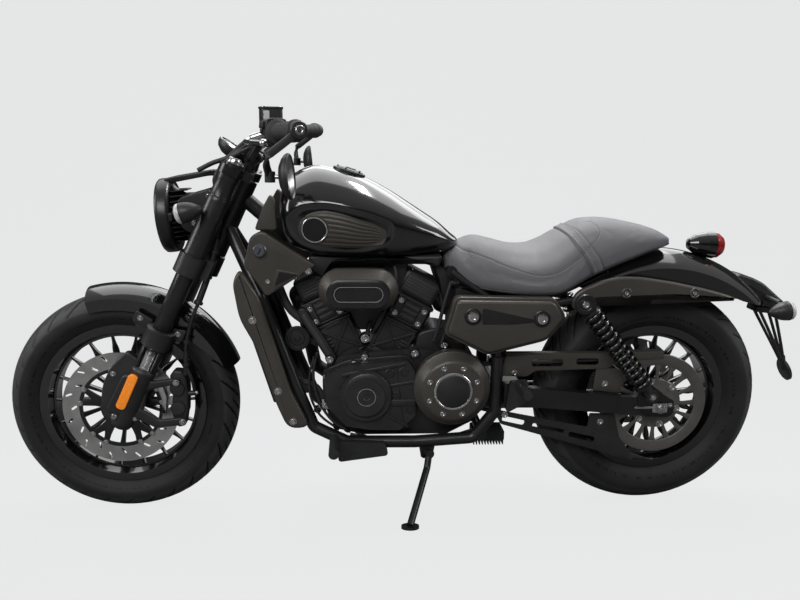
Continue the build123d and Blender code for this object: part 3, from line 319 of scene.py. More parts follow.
# a finished piece that rides with a node's body and wears a named finish, or else its node's
def piece(name, parts, node, finish=None, sharp=usualSharp, hides=(), slot=None):
    mesh = meshOf(name, parts)
    mesh.shade_smooth()
    mesh.set_sharp_from_angle(angle=radians(sharp))
    made = linked(name, mesh)
    slot = slot or (slotUnder.get(finish, finish) if finish else slotOf[node])
    mesh.materials.append(finishes[finish or slot])
    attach(made, bodyOf[node])
    if hides:
        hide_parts(*hides)
    return made


# one node's pieces from its groups of parts: rows of name, finish and sharpness, the first in the node's place
def family(node, groups, rows, hand=list):
    for index, (parts, (name, finish, sharp)) in enumerate(zip(groups, rows)):
        piece(name, hand(parts), node, finish, sharp, () if index else (node,))


# one output of a node, so that sums and products of outputs add Math nodes
class Level:
    def __init__(self, kit, socket):
        self.kit, self.socket = kit, socket

    def __add__(self, other):
        return self.kit.math("ADD", self, other)

    def __sub__(self, other):
        return self.kit.math("SUBTRACT", self, other)

    def __rsub__(self, other):
        return self.kit.math("SUBTRACT", other, self)

    def __mul__(self, other):
        return self.kit.math("MULTIPLY", self, other)

    def __truediv__(self, other):
        return self.kit.math("DIVIDE", self, other)

    def __pow__(self, other):
        return self.kit.math("POWER", self, other)

    __radd__ = __add__
    __rmul__ = __mul__


# a material's node tree; put adds any node from its type, its settings and its sockets
class Kit:
    def __init__(self, name, constants):
        self.material = bpy.data.materials.new(name)
        self.material.use_nodes = True
        self.tree = self.material.node_tree
        self.shader = self.tree.nodes["Principled BSDF"]
        self.wear(constants)
        self.coords = self.put("ShaderNodeTexCoord", out="Object")

    def put(self, kind, settings=None, sockets=None, out=0):
        node = self.tree.nodes.new(kind)
        settings = dict(settings or {})
        stops = settings.pop("stops", None)
        for key, value in settings.items():
            setattr(node, key, value)
        if stops:
            while len(node.color_ramp.elements) < len(stops):
                node.color_ramp.elements.new(0.5)
            for element, (position, colour) in zip(node.color_ramp.elements, stops):
                element.position = position
                element.color = (*colour, 1) if hasattr(colour, "__len__") else (colour, colour, colour, 1)
        self.join(node, sockets or {})
        return Level(self, node.outputs[out])

    def join(self, node, sockets):
        for key, value in sockets.items():
            if isinstance(value, Level):
                self.tree.links.new(value.socket, node.inputs[key])
            elif isinstance(node.inputs[key].default_value, float) or not hasattr(value, "__len__"):
                node.inputs[key].default_value = value
            else:
                size = len(node.inputs[key].default_value)
                node.inputs[key].default_value = (tuple(value) + (1.0,))[:size]

    def wear(self, sockets):
        self.join(self.shader, sockets)

    def math(self, operation, *values):
        return self.put("ShaderNodeMath", {"operation": operation}, dict(enumerate(values)))

    def mix(self, factor, first, second):
        return self.put("ShaderNodeMix", {"data_type": "RGBA"}, {0: factor, 6: first, 7: second}, out=2)

    def noise(self, scale, detail=3.0, rough=0.55, vector=None):
        return self.put("ShaderNodeTexNoise", {}, {"Vector": vector or self.coords, "Scale": scale, "Detail": detail,
                                                   "Roughness": rough})

    def cells(self, scale):
        return self.put("ShaderNodeTexVoronoi", {"feature": "F1"}, {"Vector": self.coords, "Scale": scale})

    def ramp(self, value, stops):
        return self.put("ShaderNodeValToRGB", {"stops": stops}, {0: value})

    def range(self, value, low, high, first=0.0, last=1.0):
        return self.put("ShaderNodeMapRange", {"clamp": True}, {0: value, 1: low, 2: high, 3: first, 4: last})

    def bump(self, height, distance, strength=1.0, under=None):
        sockets = {"Height": height, "Distance": distance, "Strength": strength}
        if under:
            sockets["Normal"] = under
        return self.put("ShaderNodeBump", {}, sockets)

    # object coordinates moved to a point of the upright motorcycle and turned back upright, in metres
    def upright(self, centre):
        moved = self.put("ShaderNodeVectorMath", {"operation": "SUBTRACT"},
                         {0: self.coords, 1: tuple(placed(centre))})
        return self.put("ShaderNodeVectorRotate", {"rotation_type": "X_AXIS"}, {"Vector": moved, "Angle": -leanAngle})

    # distance from the wheel's axle line, in metres
    def radiusFrom(self, vector):
        split = self.put("ShaderNodeSeparateXYZ", {}, {0: vector})
        across = Level(self, split.socket.node.outputs[2])
        return (split * split + across * across) ** 0.5

    def across(self, vector, index):
        split = self.put("ShaderNodeSeparateXYZ", {}, {0: vector})
        return Level(self, split.socket.node.outputs[index])


finishes = {}
# colour, second colour, roughness and its spread, grain size and depth, and constants of each plain finish
plainFinishes = {
    "gloss_black": dict(colour=(0.0035, 0.0035, 0.004), second=(0.006, 0.006, 0.0065), rough=0.16, spread=0.05,
                        grain=900, depth=0.00001, cloud=6, coat=1.0, coatRough=0.015),
    "satin_black": dict(colour=(0.008, 0.008, 0.0085), second=(0.014, 0.014, 0.0145), rough=0.33, spread=0.10,
                        grain=1400, depth=0.00004, cloud=14),
    "bronze_grey": dict(colour=(0.066, 0.060, 0.052), second=(0.078, 0.072, 0.062), rough=0.4, spread=0.08,
                        grain=2200, depth=0.00003, cloud=8, metal=0.35),
    "cast_black": dict(colour=(0.021, 0.021, 0.0215), second=(0.030, 0.030, 0.0305), rough=0.42, spread=0.14,
                       grain=1100, depth=0.00012, cloud=22, metal=0.2),
    "alloy_black": dict(colour=(0.004, 0.004, 0.0042), second=(0.007, 0.007, 0.007), rough=0.26, spread=0.08,
                        grain=1200, depth=0.00002, cloud=14),
    "polished_alloy": dict(colour=(0.62, 0.62, 0.62), second=(0.50, 0.50, 0.51), rough=0.2, spread=0.14,
                           grain=700, depth=0.00003, cloud=30, metal=1.0),
    "axle_steel": dict(colour=(0.46, 0.46, 0.455), second=(0.34, 0.34, 0.335), rough=0.28, spread=0.16,
                       grain=900, depth=0.00004, cloud=40, metal=1.0),
    "black_plastic": dict(colour=(0.012, 0.012, 0.012), second=(0.019, 0.019, 0.019), rough=0.46, spread=0.12,
                          grain=1800, depth=0.00008, cloud=20),
    "grip_rubber": dict(colour=(0.018, 0.018, 0.018), second=(0.027, 0.027, 0.027), rough=0.66, spread=0.14,
                        grain=1300, depth=0.00012, cloud=24),
    "belt_rubber": dict(colour=(0.012, 0.012, 0.012), second=(0.02, 0.02, 0.02), rough=0.6, spread=0.12,
                        grain=1500, depth=0.0001, cloud=26),
    "radiator_black": dict(colour=(0.011, 0.011, 0.011), second=(0.018, 0.018, 0.018), rough=0.5, spread=0.14,
                           grain=1200, depth=0.0001, cloud=24, metal=0.3),
    "engine_panel": dict(colour=(0.048, 0.048, 0.049), second=(0.06, 0.06, 0.061), rough=0.45, spread=0.12,
                         grain=1500, depth=0.00006, cloud=18, metal=0.3),
    "exhaust_black": dict(colour=(0.013, 0.0125, 0.012), second=(0.022, 0.02, 0.019), rough=0.5, spread=0.16,
                          grain=1600, depth=0.0001, cloud=16, metal=0.4),
}


# two close colours in soft clouds, roughness that follows them, and a fine grain in the normal
def plainFinish(name, spec):
    kit = Kit(name, {"Metallic": spec.get("metal", 0.0), "Coat Weight": spec.get("coat", 0.0),
                     "Coat Roughness": spec.get("coatRough", 0.05)})
    cloud = kit.noise(spec["cloud"], 4.0)
    fine = kit.noise(spec["grain"], 2.0)
    dust = kit.range(kit.noise(spec["cloud"] * 9, 5.0, 0.7), 0.42, 0.7)
    rough = spec["rough"] + (cloud - 0.5) * spec["spread"] + (dust - 0.5) * (spec["spread"] * 0.5)
    kit.wear({"Base Color": kit.mix(kit.range(cloud, 0.35, 0.65), spec["colour"], spec["second"]),
              "Roughness": rough, "Normal": kit.bump(fine, spec["depth"])})
    return kit.material


# turned steel: fine rings about the axle, a little dirt between them
def turnedFinish(name, centre, colour, rough, ringScale=2600, metal=1.0, dark=0.6):
    kit = Kit(name, {"Metallic": metal})
    reach = kit.radiusFrom(kit.upright(centre))
    rings = kit.put("ShaderNodeTexNoise", {"noise_dimensions": "1D"}, {"W": reach * ringScale, "Detail": 2.0})
    cloud = kit.noise(18, 4.0)
    darker = tuple(value * dark for value in colour)
    kit.wear({"Base Color": kit.mix(kit.range(cloud, 0.3, 0.75), colour, darker),
              "Roughness": rough + (rings - 0.5) * 0.22 + (cloud - 0.5) * 0.12,
              "Normal": kit.bump(rings, 0.00005)})
    return kit.material


# tyre rubber: soft clouds of dust, faint moulded rings on the side walls, a fine grain, and painted shade that turns
# the groove bottoms near black
def tyreFinish(name, centre, treadEdge):
    kit = Kit(name, {"Sheen Weight": 0.0, "Specular IOR Level": 0.35})
    place = kit.upright(centre)
    reach = kit.radiusFrom(place)
    rings = kit.put("ShaderNodeMath", {"operation": "SINE"}, {0: reach * 2400.0})
    side = kit.range(reach, 0.285, 0.275)
    grain = kit.noise(900, 3.0)
    cloud = kit.noise(11, 5.0, 0.65)
    normal = kit.bump(grain, 0.00012)
    # groove depth read back from the mesh, as the mask of the painted shade in the grooves
    groove = kit.put("ShaderNodeAttribute", {"attribute_name": "groove"}, out=2)
    wall = kit.mix(kit.range(cloud, 0.35, 0.75), (0.014, 0.014, 0.0145), (0.022, 0.0218, 0.0215))
    band = kit.mix(kit.range(cloud, 0.35, 0.75), (0.036, 0.036, 0.036), (0.050, 0.0495, 0.049))
    shade = kit.mix(kit.range(reach, treadEdge - 0.006, treadEdge), wall, band)
    # painted shade: below a few tenths of a millimetre of groove depth the colour goes to near black, though the rubber
    # there is the same
    kit.wear({"Base Color": kit.mix(kit.range(groove, 0.0005, 0.003), shade, (0.002, 0.002, 0.002)),
              "Roughness": 0.55 + (cloud - 0.5) * 0.22, "Normal": kit.bump(rings * side, 0.00014, under=normal)})
    return kit.material


# seat cover: small cells with soft creases over wider, fainter ones
def leatherFinish(name):
    kit = Kit(name, {"Specular IOR Level": 0.42})
    fine = kit.cells(620)
    creases = kit.put("ShaderNodeTexVoronoi", {"feature": "DISTANCE_TO_EDGE"}, {"Vector": kit.coords, "Scale": 520})
    wide = kit.noise(7, 4.0)
    grain = kit.bump(kit.range(creases, 0.0, 0.12), 0.00022)
    kit.wear({"Base Color": kit.mix(kit.range(wide, 0.3, 0.7), (0.148, 0.147, 0.158), (0.174, 0.173, 0.186)),
              "Roughness": 0.52 + (wide - 0.5) * 0.12 + (fine - 0.4) * 0.08,
              "Normal": kit.bump(fine, 0.00010, under=grain)})
    return kit.material


# coloured lens: bright ribs of moulded optics under a clear skin, with a painted glow though the lens is not lit
def lensFinish(name, colour, deep, ribs, paintedGlow=0.0):
    # painted glow: the lens emits its own colour at this strength, standing in for light caught in it
    kit = Kit(name, {"Coat Weight": 0.8, "Coat Roughness": 0.03, "Emission Strength": paintedGlow})
    cells = kit.cells(ribs)
    cloud = kit.noise(30, 3.0)
    shade = kit.mix(kit.range(cells, 0.1, 0.7), colour, deep)
    kit.wear({"Base Color": shade, "Emission Color": shade, "Roughness": 0.16 + (cloud - 0.5) * 0.1,
              "Normal": kit.bump(cells, 0.0003)})
    return kit.material


# clear lens: thin glass that shows what is behind it
def glassFinish(name):
    kit = Kit(name, {"Transmission Weight": 1.0, "IOR": 1.2, "Metallic": 0.0})
    cloud = kit.noise(25, 3.0)
    kit.wear({"Base Color": kit.mix(cloud, (0.93, 0.95, 0.97), (0.97, 0.98, 0.99)),
              "Roughness": 0.02 + cloud * 0.03})
    return kit.material


# printed or turned bright detail with a fine brushed grain
def brightFinish(name, colour, rough, metal=1.0):
    kit = Kit(name, {"Metallic": metal})
    cloud = kit.noise(60, 3.0)
    kit.wear({"Base Color": kit.mix(cloud, colour, tuple(value * 0.82 for value in colour)),
              "Roughness": rough + (cloud - 0.5) * 0.12, "Normal": kit.bump(kit.noise(1500, 2.0), 0.00003)})
    return kit.material


for finishName, spec in plainFinishes.items():
    finishes[finishName] = plainFinish(finishName, spec)
finishes["disc_steel"] = turnedFinish("disc_steel", frontAxle, (0.66, 0.655, 0.64), 0.34)
finishes["rear_disc_steel"] = turnedFinish("rear_disc_steel", rearAxle, (0.36, 0.36, 0.355), 0.34)
finishes["pulley_grey"] = turnedFinish("pulley_grey", rearAxle, (0.17, 0.165, 0.155), 0.42, 1500, 0.7, 0.8)
finishes["tyre_rubber"] = tyreFinish("tyre_rubber", frontAxle, 0.268)
finishes["rear_tyre_rubber"] = tyreFinish("rear_tyre_rubber", rearAxle, 0.272)
finishes["leather"] = leatherFinish("leather")
# amber and red lenses with a painted glow
finishes["amber"] = lensFinish("amber", (1.0, 0.34, 0.015), (0.8, 0.2, 0.01), 420, 0.25)
finishes["red_lens"] = lensFinish("red_lens", (0.5, 0.012, 0.014), (0.2, 0.004, 0.006), 300, 0.02)
finishes["clear_lens"] = glassFinish("clear_lens")
finishes["thread"] = brightFinish("thread", (0.36, 0.36, 0.37), 0.6, 0.0)
finishes["bright_bolt"] = brightFinish("bright_bolt", (0.62, 0.62, 0.61), 0.22)
finishes["red_switch"] = brightFinish("red_switch", (0.6, 0.01, 0.012), 0.35, 0.0)
finishes["lock_grey"] = brightFinish("lock_grey", (0.12, 0.13, 0.15), 0.35, 0.6)
finishes["dark_badge"] = brightFinish("dark_badge", (0.006, 0.006, 0.0065), 0.3, 0.0)
for node, made in frame["nodes"].items():
    made.data.materials.clear()
    made.data.materials.append(finishes[{"rear_disc": "rear_disc_steel", "rear_tyre": "rear_tyre_rubber"}.get(
        node, slotOf[node])])
print("finishes made:", len(finishes))


# camera at the view's own place, in the leaned frame before it was moved onto the floor's middle
view = {"place": (-105.0, -2190.0, 575.9), "turn": -3.561, "tip": -0.373, "lens": 34.647}
liftUp = 1.70  # the lean rolls the tyres on their crowns, millimetres


def addCamera():
    data = bpy.data.cameras.new("camera")
    data.sensor_width, data.lens = 36.0, view["lens"]
    data.clip_start, data.clip_end = 0.05, 60
    made = linked("camera", data)
    made.location = np.array(view["place"]) / perMetre + leanOrigin - (0, 0, liftUp / perMetre)
    made.rotation_euler = (radians(90 + view["tip"]), 0, radians(view["turn"]))
    bpy.context.scene.camera = made


# a pale surface that camera and glass rays see at a set colour, and other rays as plain paint
def paleFinish(name, seen, paint, keepShadow):
    kit = Kit(name, {"Roughness": 0.6, "Base Color": paint})
    shine = kit.put("ShaderNodeEmission", {}, {"Color": seen, "Strength": 1.0})
    path = kit.put("ShaderNodeLightPath", out="Is Camera Ray")
    outputs = path.socket.node.outputs
    rays = kit.math("MAXIMUM", path, Level(kit, outputs["Is Transmission Ray"]))
    blend = kit.put("ShaderNodeMixShader", {}, {0: rays * keepShadow, 1: Level(kit, kit.shader.outputs[0]), 2: shine})
    kit.tree.links.new(blend.socket, kit.tree.nodes["Material Output"].inputs["Surface"])
    return kit.material


# floor that turns up into a backdrop: flat, then a quarter circle, then a wall
backdrop = {"near": -7.0, "far": 3.4, "bend": 1.6, "tall": 7.0, "half": 11.0}


def addBackdrop():
    turn = np.linspace(-pi / 2, 0, 24)
    bend = np.stack((backdrop["far"] + backdrop["bend"] * np.cos(turn), backdrop["bend"] * (1 + np.sin(turn))), -1)
    line = np.concatenate(([(backdrop["near"], 0)], bend, [(bend[-1, 0], backdrop["tall"])]))
    across = np.linspace(-1, 1, 3) * backdrop["half"]
    grid = np.stack(np.broadcast_arrays(across[None, :], line[:, :1], line[:, 1:]), -1)
    mesh = bpy.data.meshes.new("floor")
    mesh.from_pydata(grid.reshape(-1, 3).tolist(), [], weave(*grid.shape[:2], wrapColumns=False)[:, ::-1].tolist())
    mesh.shade_smooth()
    made = linked("floor", mesh)
    mesh.materials.append(paleFinish("pale_floor", (0.95, 0.955, 0.96), (0.12, 0.12, 0.123), 0.82))


# soft lamps: place, what it points at, size and power
lamps = {
    "overhead": dict(place=(-0.1, 0.95, 3.0), aim=(0, 0.05, 0.4), size=(4.2, 2.5), power=52),
    "streak": dict(place=(0.62, 0.36, 2.9), aim=(0, 0.1, 0.4), size=(0.8, 0.3), power=34),
    "front": dict(place=(-1.2, -3.6, 2.1), aim=(0, 0, 0.5), size=(2.6, 1.4), power=80),
    "back": dict(place=(0.6, 2.4, 2.5), aim=(0, 0, 0.6), size=(3.4, 1.6), power=26),
    "nose": dict(place=(-3.2, -0.6, 1.7), aim=(-0.5, 0, 0.5), size=(1.0, 1.6), power=34),
    "tail": dict(place=(3.2, -0.9, 1.8), aim=(0.6, 0, 0.4), size=(1.0, 1.6), power=32),
}


def addLamps():
    for name, spec in lamps.items():
        data = bpy.data.lights.new(name, "AREA")
        data.shape, data.size, data.size_y, data.energy = "RECTANGLE", spec["size"][0], spec["size"][1], spec["power"]
        made = linked(name, data)
        made.location = spec["place"]
        aim = np.array(spec["aim"]) - spec["place"]
        level = hypot(aim[0], aim[1])
        made.rotation_euler = (atan2(level, -aim[2]), 0, atan2(aim[1], aim[0]) - pi / 2)


sky = {"side": (0.02, 0.02, 0.021, 1), "overhead": (0.62, 0.62, 0.63, 1), "reach": 0.85, "strength": 0.62,
       "seen": (0.79, 0.795, 0.80, 1)}


# sky brighter overhead than at the sides, and pale where the camera sees it
def addWorld():
    world = bpy.data.worlds.new("studio")
    bpy.context.scene.world = world
    world.use_nodes = True
    nodes, links = world.node_tree.nodes, world.node_tree.links
    coords = nodes.new("ShaderNodeTexCoord")
    split = nodes.new("ShaderNodeSeparateXYZ")
    ramp = nodes.new("ShaderNodeValToRGB")
    links.new(coords.outputs["Generated"], split.inputs[0])
    links.new(split.outputs[2], ramp.inputs[0])
    links.new(ramp.outputs[0], nodes["Background"].inputs["Color"])
    ramp.color_ramp.elements[0].color = sky["side"]
    ramp.color_ramp.elements[1].color, ramp.color_ramp.elements[1].position = sky["overhead"], sky["reach"]
    nodes["Background"].inputs["Strength"].default_value = sky["strength"]
    pale, path, blend = (nodes.new("ShaderNode" + kind) for kind in ("Background", "LightPath", "MixShader"))
    pale.inputs["Color"].default_value = sky["seen"]
    links.new(path.outputs["Is Camera Ray"], blend.inputs[0])
    links.new(nodes["Background"].outputs[0], blend.inputs[1])
    links.new(pale.outputs[0], blend.inputs[2])
    links.new(blend.outputs[0], nodes["World Output"].inputs["Surface"])


addCamera()
addBackdrop()
addLamps()
addWorld()
bpy.context.scene.view_settings.view_transform = "Standard"
print("camera, floor and lamps placed")


# body sections down the motorcycle: x, bottom, top, half width, widest height, flat share of the bottom
tankTable = np.array([(-291, 812, 838, 22, 826, 0.60), (-288, 794, 856, 62, 826, 0.60),
                      (-280, 770, 881, 100, 824, 0.60), (-262, 740, 906, 129, 812, 0.62),
                      (-205, 717, 929, 147, 804, 0.66), (-138, 711, 921, 150, 800, 0.67),
                      (-84, 710, 905, 148, 798, 0.68), (-10, 710, 869, 136, 786, 0.69), (40, 711, 838, 122, 775, 0.70),
                      (76, 714, 815, 108, 765, 0.71), (120, 718, 786, 87, 753, 0.72), (155, 724, 756, 60, 740, 0.74),
                      (169, 730, 745, 34, 737, 0.74), (172, 735, 740, 9, 737.5, 0.74)])
seatTable = np.array([(133, 672, 690, 46, 680, 0.80), (140, 661, 714, 76, 688, 0.80), (160, 642, 729, 97, 686, 0.80),
                      (187, 633, 738, 113, 684, 0.82), (217, 627, 747, 126, 682, 0.84),
                      (267, 621, 737, 141, 674, 0.86), (321, 617, 724, 149, 666, 0.88),
                      (367, 615, 725, 150, 666, 0.88), (413, 616, 743, 146, 676, 0.88),
                      (440, 622, 760, 139, 690, 0.88), (462, 633, 773, 131, 704, 0.88),
                      (498, 652, 792, 120, 722, 0.88), (551, 676, 797, 112, 738, 0.88),
                      (632, 708, 788, 103, 750, 0.88), (702, 731, 771, 84, 751, 0.86), (727, 737, 757, 62, 748, 0.86),
                      (738, 741, 747, 30, 744, 0.80)])


# one row per x, read off a table by its own reach so that steep ends keep their shape
def sectionsOf(table, samples):
    weights = (1, 1, 1, 1, 1, 60)  # the flat share is a part of one, so it weighs more than a millimetre
    return curve(table * weights, samples) / weights


# half sections: top ellipse, side ellipse down to the foot and a flat bottom, then the same mirrored
def bodyGrid(rows, counts, full=2.0):
    top, side, foot = counts
    x, low, high, half, wide, flat = (rows[:, i:i + 1] for i in range(6))
    turn = np.linspace(pi / 2, 0, top)
    upY, upZ = half * np.cos(turn) ** (2 / full), wide + (high - wide) * np.sin(turn) ** (2 / full)
    turn = np.linspace(0, pi / 2, side)[1:]
    downY, downZ = half * (flat + (1 - flat) * np.cos(turn)), wide - (wide - low) * np.sin(turn)
    share = np.linspace(1, 0, foot)[1:]
    y = np.concatenate((upY, downY, half * flat * share), 1)
    z = np.concatenate((upZ, downZ, low + 0 * share), 1)
    y, z = np.concatenate((-y, y[:, -2:0:-1]), 1), np.concatenate((z, z[:, -2:0:-1]), 1)
    return np.stack((np.broadcast_to(x, y.shape), y, z), -1)


# distance of points to a closed outline, above zero inside it
def insideOf(points, outline):
    start, end = outline, np.roll(outline, -1, 0)
    run = end - start
    off = points[:, None] - start
    share = np.clip(np.einsum("pkc,kc->pk", off, run) / np.maximum((run ** 2).sum(1), 1e-9), 0, 1)
    gap = np.sqrt(((off - share[..., None] * run) ** 2).sum(-1)).min(1)
    crosses = (start[:, 1] > points[:, None, 1]) != (end[:, 1] > points[:, None, 1])
    at = start[:, 0] + (points[:, None, 1] - start[:, 1]) * run[:, 0] / np.where(run[:, 1] == 0, 1e-9, run[:, 1])
    return np.where((crosses & (points[:, None, 0] < at)).sum(1) % 2 == 1, gap, -gap)


def smoothStep(value, low, high):
    t = np.clip((value - low) / (high - low), 0, 1)
    return t * t * (3 - 2 * t)


tank = {"recess": 8.0, "recessReach": 17.0, "badge": (-196.0, 780.0), "badgeRadius": 32.0, "cap": (-112.0, 43.0),
        "ribs": 7, "insertLift": 3.2}
recessLine = looped([(-269, 795), (-238, 835), (-191, 845), (-96, 832), (-36, 814), (-4, 796), (-2, 762), (-56, 725),
                     (-176, 722), (-245, 748)], 120)
insertLine = looped([(-237, 783), (-215, 815), (-179, 825.5), (-136, 820), (-84, 804), (-44, 790), (-20, 772),
                     (-26, 746), (-56, 737), (-136, 734), (-192, 739.5), (-228, 757)], 220)


tankRows = sectionsOf(tankTable, 400)


# how far the tank's side stands out at x, z, with the knee recess taken off
def tankSide(x, z):
    low, high, half, wide, flat = (np.interp(x, tankRows[:, 0], tankRows[:, i]) for i in range(1, 6))
    up = half * np.sqrt(np.clip(1 - ((z - wide) / (high - wide)) ** 2, 0, 1))
    down = half * (flat + (1 - flat) * np.sqrt(np.clip(1 - ((wide - z) / (wide - low)) ** 2, 0, 1)))
    depth = smoothStep(insideOf(np.stack((x, z), -1), recessLine), -2, tank["recessReach"])
    return np.where(z > wide, up, down) - tank["recess"] * depth


# tank shell with its recessed knees
def tankBody():
    grid = bodyGrid(sectionsOf(tankTable, 230), (54, 44, 8))
    flat = grid.reshape(-1, 3)
    depth = smoothStep(insideOf(flat[:, ::2], recessLine), -2, tank["recessReach"])
    outward = np.abs(flat[:, 1]) > 60
    flat[:, 1] -= np.sign(flat[:, 1]) * tank["recess"] * depth * outward
    return [surface(flat.reshape(grid.shape))]


# ribbed knee panel: rings drawn in towards its middle, each on the tank's side, ribs along its length
def kneePanel():
    share = np.concatenate((np.array((1.0, 1.0, 0.992, 0.98)), np.linspace(0.965, 0, 62)))
    rise = np.concatenate((np.array((-4.0, 0.6, 0.9, 1.0)), np.ones(62)))
    centre = np.array((-128.0, 778.0))
    flat = centre + (insertLine - centre) * share[:, None, None]
    upper = insertLine[:, 1] > centre[1] + 4
    order = np.argsort(insertLine[:, 0])
    top = np.interp(flat[..., 0], insertLine[order][upper[order], 0], insertLine[order][upper[order], 1])
    bottom = np.interp(flat[..., 0], insertLine[order][~upper[order], 0], insertLine[order][~upper[order], 1])
    across = (flat[..., 1] - bottom) / np.maximum(top - bottom, 4) * (tank["ribs"] + 0.5)
    ribs = 1.5 * (0.5 - 0.5 * np.cos(2 * pi * across)) ** 0.6 - 0.6
    ribs = ribs * smoothStep(1 - share[:, None], 0.05, 0.14) * smoothStep(
        np.hypot(flat[..., 0] - tank["badge"][0], flat[..., 1] - tank["badge"][1]), 34, 37)
    lift = np.where(rise < 0, rise, tank["insertLift"] * rise)[:, None] + ribs
    y = tankSide(flat[..., 0].ravel(), flat[..., 1].ravel()).reshape(lift.shape) + lift
    grid = np.stack((flat[..., 0], -y, flat[..., 1]), -1)
    return [surface(grid, capped=False)]


# frame of the tank's side at a point: place and outward direction
def tankFrame(x, z, step=6.0):
    at = np.array((x, x + step, x - step, x, x)), np.array((z, z, z, z + step, z - step))
    y = tankSide(*at)
    out = unit((-(y[1] - y[2]) / (2 * step), 1, -(y[3] - y[4]) / (2 * step)))
    return np.array((x, -y[0], z)), out * (1, -1, 1)


# blank round badge: a dark disc inside a pale ring
def badgeParts():
    place, out = tankFrame(*tank["badge"])
    r = tank["badgeRadius"]
    ring = lathe([(r - 3, 4.5), (r, 4.5), (r + 0.4, 6.0), (r - 0.4, 6.8), (r - 2.2, 6.8), (r - 3, 6.0)], place, out,
                 72, ring=True)
    disc = lathe([(r - 1, 3.0), (r - 1, 5.6), (r - 4, 6.0), (12, 6.4), (0, 6.5)], place, out, 72)
    return [ring], [disc]


# filler cap on the crown of the tank: a wide ring, a domed lid and a hinged key flap
def capParts():
    x, r = tank["cap"]
    step = 8
    top = np.interp((x - step, x, x + step), tankRows[:, 0], tankRows[:, 2])
    up = unit((-(top[2] - top[0]) / (2 * step), 0, 1))
    place = np.array((x, 0, top[1]))
    lid = lathe([(r, -6), (r, 1.5), (r - 1.5, 3.2), (r - 5, 3.8), (r - 6, 3.0), (r - 7, 3.0), (r - 8, 5.2), (r - 13, 7),
                 (12, 7.8), (0, 8)], place, up, 72)
    along = np.array((up[2], 0, -up[0]))
    flap = slab([(-9, -13), (15, -11), (15, 11), (-9, 13)], 5, 5.5, 10, 1.5,
                 planeView(place, along, rightAxis, up))
    return [lid, flap] + bolts([place + 3 * up + (r - 11) * (cos(a) * along + sin(a) * rightAxis)
                                for a in circle(5) + 0.6], up, 2.6, 5.5)


# pinched seam along the tank's lower edge
def tankSeam():
    rows = sectionsOf(tankTable, 120)[8:-6]
    path = np.stack((rows[:, 0], -rows[:, 3] * (rows[:, 5] + 0.012), rows[:, 1] + 1.0), -1)
    return bothSides([tube(path, 1.0, 10, rightAxis, [(cos(a) * 4.5, sin(a) * 1.7) for a in circle(10)])])


piece("tank_shell", tankBody(), "tank", hides=("tank",), sharp=50)
piece("knee_panels", bothSides(kneePanel()), "tank", "bronze_grey", sharp=30)
badgeRing, badgeDisc = badgeParts()
piece("badge_rings", bothSides(badgeRing), "tank", "bright_bolt")
piece("badge_discs", bothSides(badgeDisc), "tank", "dark_badge")
piece("tank_seam", tankSeam(), "tank")
piece("fuel_cap", capParts(), "tank", "satin_black")
print("tank made")

# what a tyre and its wheel share: centre, rim seat and half rim
frontSeat = dict(centre=frontAxle, seat=203.0, half=41.0)
rearSeat = dict(centre=rearAxle, seat=190.5, half=53.0)
# tyres: radius, width, groove count, sweep in degrees, angular steps
tyreSpecs = {
    "front_tyre": dict(frontSeat, radius=299.0, width=120.0, grooves=28, sweep=11.0, steps=756),
    "rear_tyre": dict(rearSeat, radius=310.5, width=150.0, grooves=28, sweep=10.0, steps=756),
}
tread = {"crown": 78.0, "halfAngle": 34.0, "depth": 6.5, "width": 8.0, "lip": 15.0}
crownRows, plainRows = 22, 40  # of the section: on the crown's arc, and down to where grooves no longer reach


